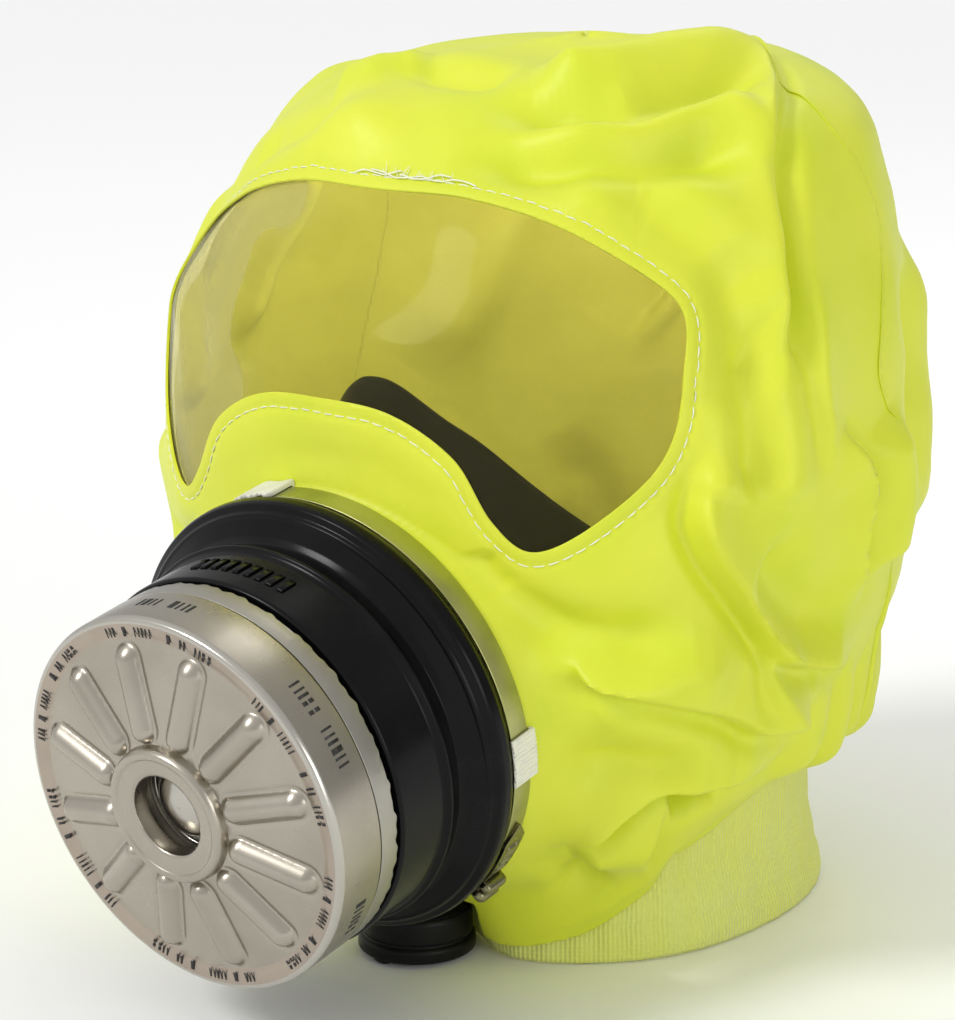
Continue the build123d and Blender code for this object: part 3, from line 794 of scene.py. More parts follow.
def dark_paint(name, colour, rough, grain, strength):
    worn = tuple(min(1, c * 2.0 + 0.002) for c in colour)
    return painted(name, colour, rough, 0.0, (45, 4, worn, 0.5, 0.85), (120, 4, rough - 0.07, rough + 0.1),
                   [(grain, 3, strength, 0.12)], Specular_IOR_Level=0.14)


rubber = dark_paint("holder_rubber", (0.003, 0.003, 0.0035), 0.2, 500, 0.05)
mask_rubber = dark_paint("mask_rubber", (0.006, 0.006, 0.006), 0.5, 700, 0.10)
plastic = dark_paint("black_plastic", (0.006, 0.006, 0.0065), 0.32, 900, 0.08)
silicone = dark_paint("valve_silicone", (0.42, 0.38, 0.30), 0.42, 600, 0.06)

aluminium = painted("canister_aluminium", (0.43, 0.395, 0.335), 0.27, 1.0,
                    (34, 4, (0.36, 0.33, 0.275), 0.45, 0.8), (120, 5, 0.22, 0.36),
                    [(1400, 3, 0.08, 0.08, (1, 1, 0.08))])
# Smoother, glossier metal for the rolled edge and the deflector. Its colour, lighter than the aluminium, is
# also a painted highlight.
edge_metal_with_painted_highlight = painted("rolled_edge", (0.50, 0.48, 0.43), 0.22, 1.0, gloss=(150, 4, 0.16, 0.30))
printed = painted("printed_ring", (0.44, 0.38, 0.315), 0.34, 1.0, (60, 4, (0.38, 0.325, 0.27), 0.45, 0.8),
                  (150, 4, 0.34, 0.48))
ink = painted("marking_ink", (0.012, 0.012, 0.012), 0.6, tint=(900, 3, (0.05, 0.045, 0.04), 0.5, 0.7))
frosted = painted("label_film", (0.43, 0.41, 0.365), 0.36, 1.0, (50, 4, (0.36, 0.35, 0.31), 0.45, 0.8),
                  bumps=[(260, 3, 0.2, 0.15)], Coat_Weight=0.1)
mesh_metal = painted("screen_metal", (0.55, 0.55, 0.54), 0.3, 1.0, gloss=(200, 4, 0.22, 0.45))
paper = painted("filter_paper", (0.82, 0.81, 0.76), 0.85, tint=(70, 3, (0.75, 0.73, 0.66), 0.45, 0.8),
                bumps=[(800, 4, 0.3, 0.15)])
coal = painted("carbon", (0.02, 0.02, 0.02), 0.7, tint=(400, 4, (0.06, 0.06, 0.06), 0.5, 0.7),
               bumps=[(700, 5, 0.8, 0.6)])
compound = painted("sealing_compound", (0.72, 0.68, 0.58), 0.5, tint=(60, 3, (0.62, 0.58, 0.48), 0.45, 0.8),
                   bumps=[(150, 3, 0.2, 0.3)])
clear_tape = painted("sealing_tape", (0.80, 0.80, 0.60), 0.35, tint=(80, 3, (0.72, 0.74, 0.40), 0.45, 0.8),
                     bumps=[(300, 3, 0.2, 0.1)])
elastic = painted("elastic", (0.03, 0.03, 0.03), 0.85, tint=(300, 3, (0.08, 0.08, 0.08), 0.5, 0.8),
                  bumps=[(420, (0, 1.57, 0), 0.5, 0.3)], Sheen_Weight=0.3)

KEPT = {
    plastic: ["connector_body", "inhalation_valve_seat", "exhalation_valve_seat", "mask_clamp_ring",
              "strap_clip_left", "strap_clip_right", "strap_slider_left", "strap_slider_right"],
    silicone: ["inhalation_valve_disc", "exhalation_valve_disc"],
    rubber: ["outlet_gasket"],
    aluminium: ["canister_body"],
    mesh_metal: ["front_screen", "middle_screen", "rear_screen"],
    paper: ["particle_filter", "dust_pad"],
    compound: ["particle_filter_ring"],
    coal: ["carbon_bed"],
}
for kept_material, kept_nodes in KEPT.items():
    for node_name in kept_nodes:
        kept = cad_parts[node_name]
        kept.data.materials.clear()
        kept.data.materials.append(kept_material)

# ---- hood panels ----

COLUMNS, ROWS = ((640, 330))
DENSER_FRONT = 0.30

share = np.linspace(-0.5, 0.5, COLUMNS)
grid_angle = np.radians(-90 + 360 * (share - DENSER_FRONT * np.sin(2 * math.pi * share) / (2 * math.pi)))
grid_run = np.linspace(0, hood.length, ROWS)
# One point closes the crown, and the triangles that this flattens go.
hood_triangles = np.minimum(grid_triangles(ROWS, COLUMNS), (ROWS - 1) * COLUMNS)
hood_triangles = hood_triangles[hood_triangles[:, 1] != hood_triangles[:, 2]]
hood_rows = np.stack([np.tile(grid_angle, ROWS), np.repeat(grid_run, COLUMNS)], 1)

# The seam's height and its distance from front to back, on each side.
SEAM_RIGHT = [(40, 30), (60, 30), (120, 26), (147, 22), (164, 9), (174, 5), (190, 10), (215, 20), (229, 14),
              (238, 8), (246, 7), (252, 14), (257, 25), (264, 30)]
SEAM_LEFT = [(40, 30), (70, 26), (100, 32), (130, 24), (160, 30), (190, 34), (220, 26), (240, 32), (255, 28),
             (264, 30)]


def seam_at(points):
    """Where the wandering seam between the panels is, from front to back."""
    x, z = points[:, 0], points[:, 2]
    right, left = curve_through(*zip(*SEAM_RIGHT), z), curve_through(*zip(*SEAM_LEFT), z)
    return SEAM_Y + (np.where(x > 0, right, left) - SEAM_Y) * smooth(np.abs(x), 8, 45)


def of_plain(rows, what):
    """Trimming distances on the plain level surface."""
    p = hood.at(rows[:, 0], rows[:, 1])
    if what == "hem":
        wander = 0.8 * np.sin(rows[:, 0] * 9) + 0.6 * np.sin(rows[:, 0] * 17 + 1)
        return p[:, 2] - np.interp(p[:, 1], *zip(*HEM)) - wander * smooth(p[:, 1], -60, -40)
    if what == "seam":
        return seam_at(p) - p[:, 1]
    if what == "visor":
        return outside_visor(p)
    radius, _, along = filter_polar(p)
    return np.where(along > BEHIND_FACE, radius - SLEEVE, 50.0)


body_rows, body_triangles = trim(hood_rows, hood_triangles, of_plain(hood_rows, "hem"))
rear_rows, rear_triangles = trim(body_rows, body_triangles, -of_plain(body_rows, "seam"))
front_rows, front_triangles = trim(body_rows, body_triangles, of_plain(body_rows, "seam"))
front_rows, front_triangles = trim(front_rows, front_triangles, of_plain(front_rows, "visor"))
front_rows, front_triangles = trim(front_rows, front_triangles, of_plain(front_rows, "band"))

VALVE_HOLE, VALVE_HOLE_FROM, VALVE_HOLE_TO = 10.6, 13.8, 30     # radius and heights
x, y, z = fabric(*front_rows.T)[0].T
hole = np.where((z > VALVE_HOLE_FROM) & (z < VALVE_HOLE_TO), np.hypot(x, y - VALVE_Y) - VALVE_HOLE, 9.0)
front_rows, front_triangles = trim(front_rows, front_triangles, hole)
front_points = fabric(*front_rows.T)[0]


def rim_edges(triangles):
    """Edges that only one triangle has, in that triangle's order."""
    seen = {}
    for a, b, c in triangles.tolist():
        for i, j in ((a, b), (b, c), (c, a)):
            if (j, i) in seen:
                del seen[(j, i)]
            else:
                seen[(i, j)] = 1
    return list(seen)


def add_sleeve(points, triangles):
    """Carry the edge round the connector forwards, under the clamp band."""
    _, angle, along = filter_polar(points)
    plain_radius, _, plain_along = filter_polar(hood.at(*front_rows.T))
    on_edge = (np.abs(plain_radius - SLEEVE) < 0.02) & (plain_along > BEHIND_FACE)
    edges = [e for e in rim_edges(triangles) if on_edge[e[0]] and on_edge[e[1]]]
    names = sorted({i for e in edges for i in e})
    place = {v: i for i, v in enumerate(names)}
    points = points.copy()
    points[names] = filter_point(SLEEVE, angle[names], np.minimum(along[names], SLEEVE_BACK + 0.3))
    rings = [names]
    faces = [tuple(t) for t in triangles.tolist()]
    extra = [points]
    total = len(points)
    for step in (SLEEVE_BACK + 1.2, -66.5, SLEEVE_FRONT):
        extra.append(filter_point(SLEEVE, angle[names], np.full(len(names), step)))
        ring = list(range(total, total + len(names)))
        total += len(names)
        for i, j in edges:
            a, b = rings[-1][place[i]], rings[-1][place[j]]
            c, d = ring[place[j]], ring[place[i]]
            faces.append((b, a, d, c))
        rings.append(ring)
    return np.concatenate(extra), faces


front_points, front_faces = add_sleeve(front_points, front_triangles)
front_panel = put("hood_front", front_points, front_faces, [hood_cloth, hood_lining], "hood", angle=70)
rear_points = fabric(*rear_rows.T)[0]
rear_panel = put("hood_rear", rear_points, rear_triangles, [hood_cloth, hood_lining], "hood", angle=70)


def weld(piece, distance=0.02):
    """Join points that lie on each other."""
    m = piece.modifiers.new("weld", "WELD")
    m.merge_threshold = distance * MM
    return baked(piece)


for piece, node in ((front_panel, "hood_front_panel"), (rear_panel, "hood_rear_panel")):
    weld(piece)
    thicken(piece, FABRIC, inner=1)
    finish_of(piece, "hood_fabric", node)

# ---- visor film ----

FILM_CREASES = [
    ("ridge", 7, 1.1, [(-146, 200), (-132, 186), (-124, 172), (-122, 160)]),
    ("valley", 6, 0.9, [(-136, 214), (-126, 196), (-118, 178), (-116, 166)]),
    ("ridge", 9, 1.6, [(-120, 222), (-112, 204), (-108, 186), (-106, 174)]),
    ("valley", 14, 1.2, [(-96, 222), (-88, 206), (-74, 192), (-56, 184)]),
    ("ridge", 12, 1.0, [(-64, 214), (-52, 196), (-48, 172)]),
]
FILM_LAP = 6.4          # how far the film reaches under the fabric
film_rows, film_triangles = trim(hood_rows, hood_triangles, FILM_LAP - of_plain(hood_rows, "visor"))


def film_points(rows, depth):
    angle, s = rows.T
    height, out, _ = folds(angle, s)
    base = hood.at(angle, s)
    normals = outward(angle, s)
    crease = np.zeros(len(base))
    for kind, width, rise, line in FILM_CREASES:
        crease += fold_height(base, normals, line_on_hood(line), kind, width, rise)
    crease *= smooth(-out, 1, 16)
    rise = height * smooth(out, -9, 1) + crease + 0.35 * waves(base, 40, 9) * smooth(-out, 0, 10)
    return plain(angle, s) + normals * (rise - depth)[:, None]


visor = put("visor_window", film_points(film_rows, FABRIC + 0.35), film_triangles, film, "hood", angle=70)
thicken(visor, 0.5)
finish_of(visor, "visor_film", "visor")

tape_rows, tape_triangles = trim(film_rows, film_triangles, of_plain(film_rows, "visor") - 0.8)
tape_points = film_points(tape_rows, FABRIC + 1.1)
seam_tape = put("visor_tape", tape_points, tape_triangles, clear_tape, "hood", angle=70)
thicken(seam_tape, 0.3)
finish_of(seam_tape, "sealing_tape", "visor_seam_tape")

# ---- stitches round the visor ----

def offset_outline(distance, count):
    """Evenly spaced places on the fabric a set distance outside the visor, seen from the front."""
    q = ring_line(distance)
    q = np.concatenate([q, q[:1]])
    place3 = np.concatenate([[0], np.cumsum(np.linalg.norm(np.diff(on_front(q), axis=0), axis=1))])
    at = np.arange(count) * place3[-1] / count
    return np.stack([np.interp(at, place3, q[:, 0]), np.interp(at, place3, q[:, 1])], 1), place3[-1]


def on_front(flat):
    """Points of the folded fabric under places seen from the front."""
    return fabric(angle_at(flat[:, 0], flat[:, 1]), hood.run(flat[:, 1]))[0]


def normals_under(flat):
    return outward(angle_at(flat[:, 0], flat[:, 1]), hood.run(flat[:, 1]))


STITCH_PITCH = 4.1
STITCH_PROFILE = [-0.10, 0.20, 0.28, 0.28, 0.20, -0.10]         # height of the thread along one stitch
STITCH_RADII = np.array([0.11, 0.19, 0.22, 0.22, 0.19, 0.11])
STITCH_POINTS = len(STITCH_PROFILE)
_, seam_length = offset_outline(STITCH_OUT, 200)
stitch_count = int(seam_length / STITCH_PITCH)
line, _ = offset_outline(STITCH_OUT, stitch_count * STITCH_POINTS)
dice = np.random.default_rng(12)
side_step = np.repeat(dice.normal(0, 0.14, stitch_count), STITCH_POINTS)
line = line + side_step[:, None] * np.array([0.6, 0.8])
line_normals = normals_under(line)
lifted = on_front(line) + line_normals * np.tile(STITCH_PROFILE, stitch_count)[:, None]
stitches = []
for i in range(stitch_count):
    at = slice(i * STITCH_POINTS, (i + 1) * STITCH_POINTS)
    stitches.append(tube(lifted[at], STITCH_RADII, 6, up=line_normals[at]))
# Loose thread above the middle of the visor: four long strands and some short ends.
FRAYED = [((-10, 229.2), (6, 230.4)), ((-4, 229.8), (14, 229.4)), ((6, 229.4), (22, 230.2)),
          ((14, 229.8), (30, 229.2))]
for k, ((x0, z0), (x1, z1)) in enumerate(FRAYED):
    t = np.linspace(0, 1, 14)
    flat = np.stack([x0 + (x1 - x0) * t, z0 + (z1 - z0) * t + 0.5 * np.sin(t * 7 + k)], 1)
    normal = normals_under(flat)
    strand = on_front(flat) + normal * (0.35 + 0.5 * np.abs(np.sin(t * 9 + k * 2)))[:, None]
    stitches.append(tube(strand, np.full(14, 0.24), 6, up=normal))
for k in range(12):
    x = dice.uniform(-2, 30)
    t = np.linspace(0, 1, 6)
    flat = np.stack([x + t * dice.uniform(-2.5, 2.5), 229.6 + t * dice.uniform(1.0, 3.0)], 1)
    normal = normals_under(flat)
    strand = on_front(flat) + normal * (0.2 + 1.4 * t * dice.uniform(0.3, 1))[:, None]
    stitches.append(tube(strand, np.linspace(0.13, 0.05, 6), 5, up=normal))
stitching = put("visor_stitches", *gather(stitches), thread, "hood", angle=80)

# ---- crown seam ----

def seam_line(side):
    """Places along the crown seam from the hem on one side up to the top."""
    count = 260
    runs = np.linspace(hood.run(52.0), hood.length - 24.0, count)
    low, high = np.full(count, np.radians(-8.0)), np.full(count, np.radians(90.0))
    for _ in range(26):     # halve the range until the seam is met
        middle = (low + high) / 2
        p = hood.at(middle if side > 0 else math.pi - middle, runs)
        ahead = p[:, 1] < seam_at(p)
        low, high = np.where(ahead, middle, low), np.where(ahead, high, middle)
    return (low if side > 0 else math.pi - low), runs


# How far the fin's section stands up, and how far it leans over.
FIN_STEPS = [(0.0, 0.0), (0.45, 0.25), (0.75, 0.7), (0.85, 1.2), (0.9, 1.8)]
fin_parts = []
for side in (1, -1):
    angles, runs = seam_line(side)
    points, normals, _, _ = fabric(angles, runs)
    t = np.linspace(0, 1, len(runs))
    size = (0.35 + 0.65 * np.abs(np.sin(t * 8 + side))) * smooth(t, 0, 0.08) * smooth(1 - t, 0, 0.05)
    swing = np.sin(t * 5 + 1 + side)
    lean = np.array([0, 1.0, 0]) * (np.sign(swing) * smooth(np.abs(swing), 0, 0.4))[:, None]
    rows = [points + normals * (up * size - 0.3)[:, None] + lean * (over * size)[:, None]
            for up, over in FIN_STEPS]
    fin_parts.append((np.concatenate(rows), grid_faces(len(rows), len(runs))))
fin = put("crown_seam", *gather(fin_parts), hood_cloth, "hood", angle=70)
thicken(fin, 0.45)
finish_of(fin, "hood_fabric", "hood_crown_seam")

# ---- neck seal ----

NECK_COLUMNS, NECK_ROWS = 420, 60
NECK_HEM = 1.9          # how far the knit's hem hangs below its levels
neck_angle = np.radians(np.linspace(-270, 90, NECK_COLUMNS))
neck_run = np.linspace(0, neck.length, NECK_ROWS)
neck_rows = np.stack([np.tile(neck_angle, NECK_ROWS), np.repeat(neck_run, NECK_COLUMNS)], 1)
_, y, z = neck.at(*neck_rows.T).T
under_hem = np.interp(y, *zip(*HEM)) + TUCK - z
neck_rows, neck_triangles = trim(neck_rows, grid_triangles(NECK_ROWS, NECK_COLUMNS), under_hem)
neck_points = neck.at(*neck_rows.T)
sideways = unit(neck_points * np.array([1, 1, 0]) - np.array([0, 5, 0]))
z = neck_points[:, 2]
ripple = 0.55 * waves(neck_points, 34, 21) + 0.25 * np.sin(neck_rows[:, 0] * 46)
ripple -= 0.6 * np.exp(-((z - 8.5) / 1.2) ** 2) - 0.5 * np.exp(-((z - 4) / 3) ** 2)
neck_points = neck_points + sideways * (ripple * smooth(z, -2, 3) - 0.15)[:, None]
neck_points[:, 2] -= NECK_HEM * (1 - smooth(z, 0, 12))
neck_piece = put("neck_collar", neck_points, neck_triangles, knit, "hood", angle=70)
weld(neck_piece)
thicken(neck_piece, 1.9)
finish_of(neck_piece, "neck_knit", "neck_seal", "neck_elastic")

# ---- clamp band, buckle and loops ----

BAND_IN, BAND_OUT = 63.3, 64.1
band = lathe("clamp_strip", [(BAND_IN, -70.9), (BAND_OUT, -70.9), (BAND_OUT, -63.5), (BAND_IN, -63.5)],
             steel_with_painted_reflection, "hood", turns=220, radius=0.3)
finish_of(band, "band_steel", "clamp_band")


def plate_on_band(start, end, low, high, inner, thickness, outline=None, rise=None, steps=40, across=9):
    """Curved plate on the band, from one angle in degrees to another."""
    t = np.linspace(0, 1, steps)
    u = np.linspace(-1, 1, across)
    T, U = np.meshgrid(t, u, indexing="ij")
    width = np.ones_like(T) if outline is None else outline(T)
    along = (low + high) / 2 + U * (high - low) / 2 * width
    angle = np.radians(start + (end - start) * T)
    lift = np.zeros_like(T) if rise is None else rise(T, U)
    top = filter_point((inner + thickness + lift).ravel(), angle.ravel(), along.ravel())
    under = filter_point((inner + lift * 0.9).ravel(), angle.ravel(), along.ravel())
    n = steps * across
    faces = grid_faces(steps, across)
    faces += [tuple(i + n for i in f[::-1]) for f in grid_faces(steps, across)]
    rim = list(range(across)) + [r * across + across - 1 for r in range(1, steps)]
    rim += [(steps - 1) * across + c for c in range(across - 2, -1, -1)]
    rim += [r * across for r in range(steps - 2, 0, -1)]
    for i, j in zip(rim, rim[1:] + rim[:1]):
        faces.append((j, i, i + n, j + n))
    return np.concatenate([top, under]), faces


def pointed(t):
    """Width of the catch's tongue along it."""
    return np.clip(0.10 + 3.6 * t, 0, 1)


def embossed(t, u):
    """Pressed bars across the tongue."""
    return 0.34 * np.clip(np.cos(t * 46) * 2.2, -1, 1) * (np.abs(u) < 0.55) * (t > 0.3) * (t < 0.85)


def folded_ear(angle, out, thick):
    """Rolled ear that stands on the band, across it."""
    t = np.linspace(-1, 1, 15)
    size = thick * np.clip(1 - np.abs(t) ** 6, 0.05, 1) ** 0.5
    path = filter_point(np.full(15, BAND_OUT + out), np.full(15, math.radians(angle)), -67.0 + 4.7 * t)
    return tube(path, size, 14, flat=1.35, up=filter_point(1.0, math.radians(angle), 0.0) - FACE)


buckle_parts = [
    plate_on_band(-22.5, -42, -71.6, -62.9, BAND_OUT + 0.1, 1.1, pointed, embossed),
    plate_on_band(-41, -54, -70.6, -63.8, BAND_OUT + 0.05, 0.7),
    folded_ear(-43.6, 2.3, 1.75),
    folded_ear(-47.4, 2.5, 1.9),
    plate_on_band(-42.4, -49.0, -71.0, -63.2, BAND_OUT + 0.3, 1.2),
]
buckle = put("clamp_catch", *gather(buckle_parts), catch_steel_with_painted_reflection, "hood", angle=35)
bevel = buckle.modifiers.new("edges", "BEVEL")
bevel.width = 0.22 * MM
bevel.segments = 2
bevel.limit_method = "ANGLE"
bevel.angle_limit = math.radians(50)
baked(buckle)
finish_of(buckle, "band_steel", "clamp_buckle")


def tape_loop(name, middle, span, node, torn=0.0):
    """Flat woven loop round the band."""
    section = np.array(rounded([
        (BAND_OUT + 0.25, -71.4), (BAND_OUT + 0.25, -63.2), (BAND_OUT + 0.3, -62.5), (BAND_OUT + 1.25, -62.5),
        (BAND_OUT + 1.25, -72.6), (SLEEVE + 0.4, -72.6), (SLEEVE + 0.4, -71.6)], 0.5))
    rings = []
    for v in np.linspace(-0.5, 0.5, 110):
        rib = 0.20 * math.cos(v * 2 * math.pi * 11)
        outer = section[:, 0] > BAND_OUT + 0.7
        r = section[:, 0] + np.where(outer, rib + torn * (0.4 * np.sin(v * 9) + 0.3), 0)
        w = section[:, 1] + np.where(section[:, 1] > -66, torn * 1.6 * np.sin(v * 14 + 0.6), 0)
        rings.append(filter_point(r, math.radians(middle + v * span), w))
    faces = capped_grid(len(rings), len(section))
    loop = put(name, np.concatenate(rings), faces, tape, "hood", angle=60)
    finish_of(loop, "woven_tape", node)


tape_loop("tape_loop_side", -3.0, 12.5, "band_loop_side")
tape_loop("tape_loop_upper", 105.0, 12.5, "band_loop_upper", torn=0.6)

# ---- rubber holder ----

holder = lathe("holder", [
    (51.9, -25.3), (55.0, -25.3), (55.6, -26.2), (55.6, -42.6), (56.3, -43.6), (57.3, -44.2), (57.3, -45.4),
    (56.0, -46.0), (55.4, -47.0), (55.4, -50.6), (57.0, -52.2), (61.2, -54.4), (62.3, -54.6), (62.9, -55.8),
    (64.7, -56.6), (65.2, -57.8), (65.3, -60.2), (64.7, -61.8), (63.2, -62.6), (61.6, -62.8), (61.6, -73),
    (58, -73), (58, -53.3), (51.9, -51.2),
], rubber, "hood", turns=240, radius=0.4, angle=30)
finish_of(holder, "black_rubber", "filter_holder")

GRIP_HALF = 1.5 / 1.6       # degrees
GRIP_PROFILE = [(55.55, -32.0), (55.95, -32.6), (55.95, -37.6), (55.55, -38.2)]
marks = []
for middle in range(72, 106, 4):
    t = np.radians(np.linspace(middle - GRIP_HALF, middle + GRIP_HALF, 8))
    marks.append((np.concatenate([filter_point(r, t, w) for r, w in GRIP_PROFILE]), grid_faces(4, 8)))
raised = put("holder_marks", *gather(marks), rubber, "hood", angle=50)
thicken(raised, 0.3)

# ---- canister ----

RIB_COUNT, RIB_PHASE, RIB_HALF, RIB_RISE = 12, math.radians(14), 4.1, 3.1
RIB_FROM, RIB_TO = 24.4, 43.4
PANEL_IN, PANEL_OUT = np.array([20.0, 3.6]), np.array([48.7, -0.9])     # ends of the ribbed panel
PRINT_RING = (48.7, 53.2)

# The cover's profile without the panel, whose own two corners aren't rounded.
CORNER_STEPS = 4
cover_rings = rounded([(12.3, 0.2), (12.3, 5.0), (17.4, 6.0), (18.7, 5.5), (19.2, 2.6), (48.7, -1.8),
                       (52.6, -1.2), (54.2, -2.3), (54.2, -17), (55, -17), (55, -1.7), (54.5, -0.45),
                       (53.4, 0), (50.6, -0.35), PANEL_OUT], 0.5)[:-CORNER_STEPS]
PANEL_RINGS = 110
panel = [PANEL_OUT + (PANEL_IN - PANEL_OUT) * t for t in np.linspace(0, 1, PANEL_RINGS)]
inner = rounded([PANEL_IN, (19.6, 5.8), (18.8, 7.0), (17.3, 7.0), (16.6, 6.3), (12.8, 6.1), (11.6, 5.5),
                 (11.6, 0.2)], 0.5)[CORNER_STEPS:]
rings = cover_rings + panel + inner
panel_slice = range(len(cover_rings), len(cover_rings) + PANEL_RINGS)
TURNS = 640
phi = np.linspace(0, 2 * math.pi, TURNS, endpoint=False)
cover_points = []
for i, (r, w) in enumerate(rings):
    height = np.full(TURNS, float(w))
    if i in panel_slice:
        turn = (phi - RIB_PHASE + math.pi / RIB_COUNT) % (2 * math.pi / RIB_COUNT) - math.pi / RIB_COUNT
        x, y = r * np.cos(turn), r * np.sin(turn)
        away = np.hypot(x - np.clip(x, RIB_FROM, RIB_TO), y)
        height += RIB_RISE * np.clip(1 - (away / RIB_HALF) ** 2, 0, 1) ** 0.9
        height -= 0.25 * np.exp(-((away - RIB_HALF - 0.6) / 0.7) ** 2)
    cover_points.append(filter_point(r, phi, height))
kinds = []      # 0 plain, 1 the rolled edge, in lighter metal with a painted highlight, 2 the printed ring
for ring, following in zip(rings[:-1], rings[1:]):
    r, w = (ring + following) / 2
    on_print = PRINT_RING[0] < r < PRINT_RING[1] and w > -0.95
    kinds += [2 if on_print else 1 if r >= PRINT_RING[1] and w > -1.9 else 0] * TURNS
kinds += [0] * TURNS
cover = put("canister_front", np.concatenate(cover_points), closed_grid(len(rings), TURNS),
            [aluminium, edge_metal_with_painted_highlight, printed], "canister", kinds, angle=50)
finish_of(cover, "canister_aluminium", "canister_cover")


WHOLE = [(0, 1)]
# Width, the bars across it and the bars along it of each generic sign.
SIGNS = {"i": (0.5, WHOLE, WHOLE), "m": (1.5, [(0, 0.24), (0.76, 1)], WHOLE), "u": (0.9, WHOLE, WHOLE),
         "x": (2.2, [(0, 0.3), (0.7, 1)], [(0, 0.42), (0.58, 1)]), " ": (1.4, [], [])}


def ring_marks(pattern, start, step, near, far, lift, on_side=False):
    """Printed bars round the canister. They spell nothing."""
    parts = []
    at = start
    for sign in pattern:
        width, bars, halves = SIGNS[sign]
        for low, high in bars:
            t = np.radians(at + step * width * np.linspace(low, high, 3))
            for ends in halves:
                edges = [near + (far - near) * end for end in ends]
                rows = [filter_point(lift, t, e) if on_side else filter_point(e, t, lift) for e in edges]
                parts.append((np.concatenate(rows), grid_faces(2, 3)))
        at += step * (width + 0.55)
    return parts


face_marks, side_marks = [], []
for k in range(6):
    face_marks += ring_marks("xm ii u  mim u im  ", 60 * k + 7, 1.45, 49.6, 52.3, -0.12)
print_face = put("canister_print", *gather(face_marks), ink, "canister")
thicken(print_face, 0.05)
for pattern, start in (("muim xim", 20), ("imu mui", 84), ("ximu", -36)):
    side_marks += ring_marks(pattern, start, 1.9, -12.6, -8.6, 55.06, True)
print_side = put("canister_side_print", *gather(side_marks), ink, "canister")
thicken(print_side, 0.05)


def torn_edge(around, along):
    """Rough rear edge of the film."""
    if along > -20:
        return 0.12 * np.sin(around * 5)
    return 0.35 * np.sin(around * 31) + 0.3 * np.sin(around * 73 + 1) + 0.25 * np.sin(around * 7)


label = lathe("film_band", [(54.25, -23.6), (54.85, -23.6), (54.85, -17.4), (54.25, -17.4)], frosted,
              "canister", turns=360, radius=0.15, wobble=torn_edge)
finish_of(label, "label_film", "canister_seal_film")

baffle = lathe("deflector", [
    (0.02, -2.2), (8.2, -2.2), (9.6, -3.0), (10.6, -6.4), (11.8, -7.2), (14.6, -7.2), (15.6, -6.4),
    (15.9, -2.0), (24.0, -2.0), (24.0, -1.3), (15.2, -1.3), (14.8, -6.1), (14.2, -6.5), (12.2, -6.5),
    (11.4, -6.1), (10.3, -2.4), (8.6, -1.2), (4.0, 0.4), (0.02, 0.9),
], edge_metal_with_painted_highlight, "canister", turns=120, radius=0.6)
finish_of(baffle, "canister_aluminium", "inlet_baffle")

# ---- exhalation valve cover ----

valve_cover = lathe("valve_cap", [
    (0.02, -1.5), (16.4, -1.5), (17.5, -0.7), (17.5, 2.4), (16.9, 3.2), (16.1, 3.4), (16.1, 4.2), (16.5, 4.6),
    (16.5, 10.6), (15.9, 11.6), (15.3, 11.6), (15.3, 0.5), (0.02, 0.5),
], plastic, "exhalation_cover", place=valve_point, turns=140, radius=0.5)
finish_of(valve_cover, "black_plastic", "exhalation_valve_cover")
t = np.linspace(0, 1, 10)
tab_path = np.stack([6 * (t - 0.5), np.full(10, VALVE_Y - 16.4), np.full(10, -1.1)], 1)
tab = tube(tab_path, 1.1 * np.sin(math.pi * (0.1 + 0.8 * t)), 10)
tab_piece = put("valve_cap_tab", *tab, plastic, "exhalation_cover", angle=60)

# ---- half mask ----

NOSE = np.array([0, -93.0, 171.0])
CHIN = np.array([0, -50.0, 50.0])
RIM_HALF = [(0, 0), (24, 3), (44, 16), (55, 38), (54, 52), (46, 74), (30, 104), (18.5, 117), (8, 126.5),
            (0, 129)]
THROAT = 49.2           # radius of the cup's neck
FACE_RADIUS = 58.0
rim_up = (NOSE - CHIN) / np.linalg.norm(NOSE - CHIN)
rim_back = np.array([0, rim_up[2], -rim_up[1]])
rim_flat = closed_curve(RIM_HALF + [(-x, h) for x, h in RIM_HALF[-2:0:-1]], 10)
depth = FACE_RADIUS - np.sqrt(FACE_RADIUS ** 2 - np.minimum(np.abs(rim_flat[:, 0]), 50) ** 2)
spread = 0.92 + 0.1 * depth / 36
rim = CHIN + rim_flat[:, :1] * spread[:, None] * ACROSS + rim_flat[:, 1:] * rim_up + depth[:, None] * rim_back
_, rim_angle, _ = filter_polar(rim)
throat = filter_point(THROAT, rim_angle, np.full(len(rim), -85.0))
mask_rings = [filter_point(THROAT, rim_angle, np.full(len(rim), w)) for w in (-74.2, -79.0, -84.0)]
start_pull, end_pull = -AXIS * 34, (rim - throat) * 0.9 + rim_back * 12
for t in np.linspace(0, 1, 34)[1:]:
    mask_rings.append((2 * t ** 3 - 3 * t ** 2 + 1) * throat + (t ** 3 - 2 * t ** 2 + t) * start_pull
                      + (3 * t ** 2 - 2 * t ** 3) * rim + (t ** 3 - t ** 2) * end_pull)
mask = put("mask_cup_rubber", np.concatenate(mask_rings), grid_faces(len(mask_rings), len(rim), wrap=True),
           mask_rubber, "hood", angle=60)
thicken(mask, 2.0)
finish_of(mask, "mask_rubber", "half_mask")
bead = put("mask_rim", *tube(np.concatenate([rim, rim[:2]]), 1.7, 10), mask_rubber, "hood", angle=60)

# ---- head strap ----

STRAP = [(-58, -52), (-84, 4), (-64, 58), (64, 58), (84, 4), (58, -52)]
STRAP_MIDDLE, STRAP_HALF, STRAP_THICK = 69.5, 7.4, 1.2


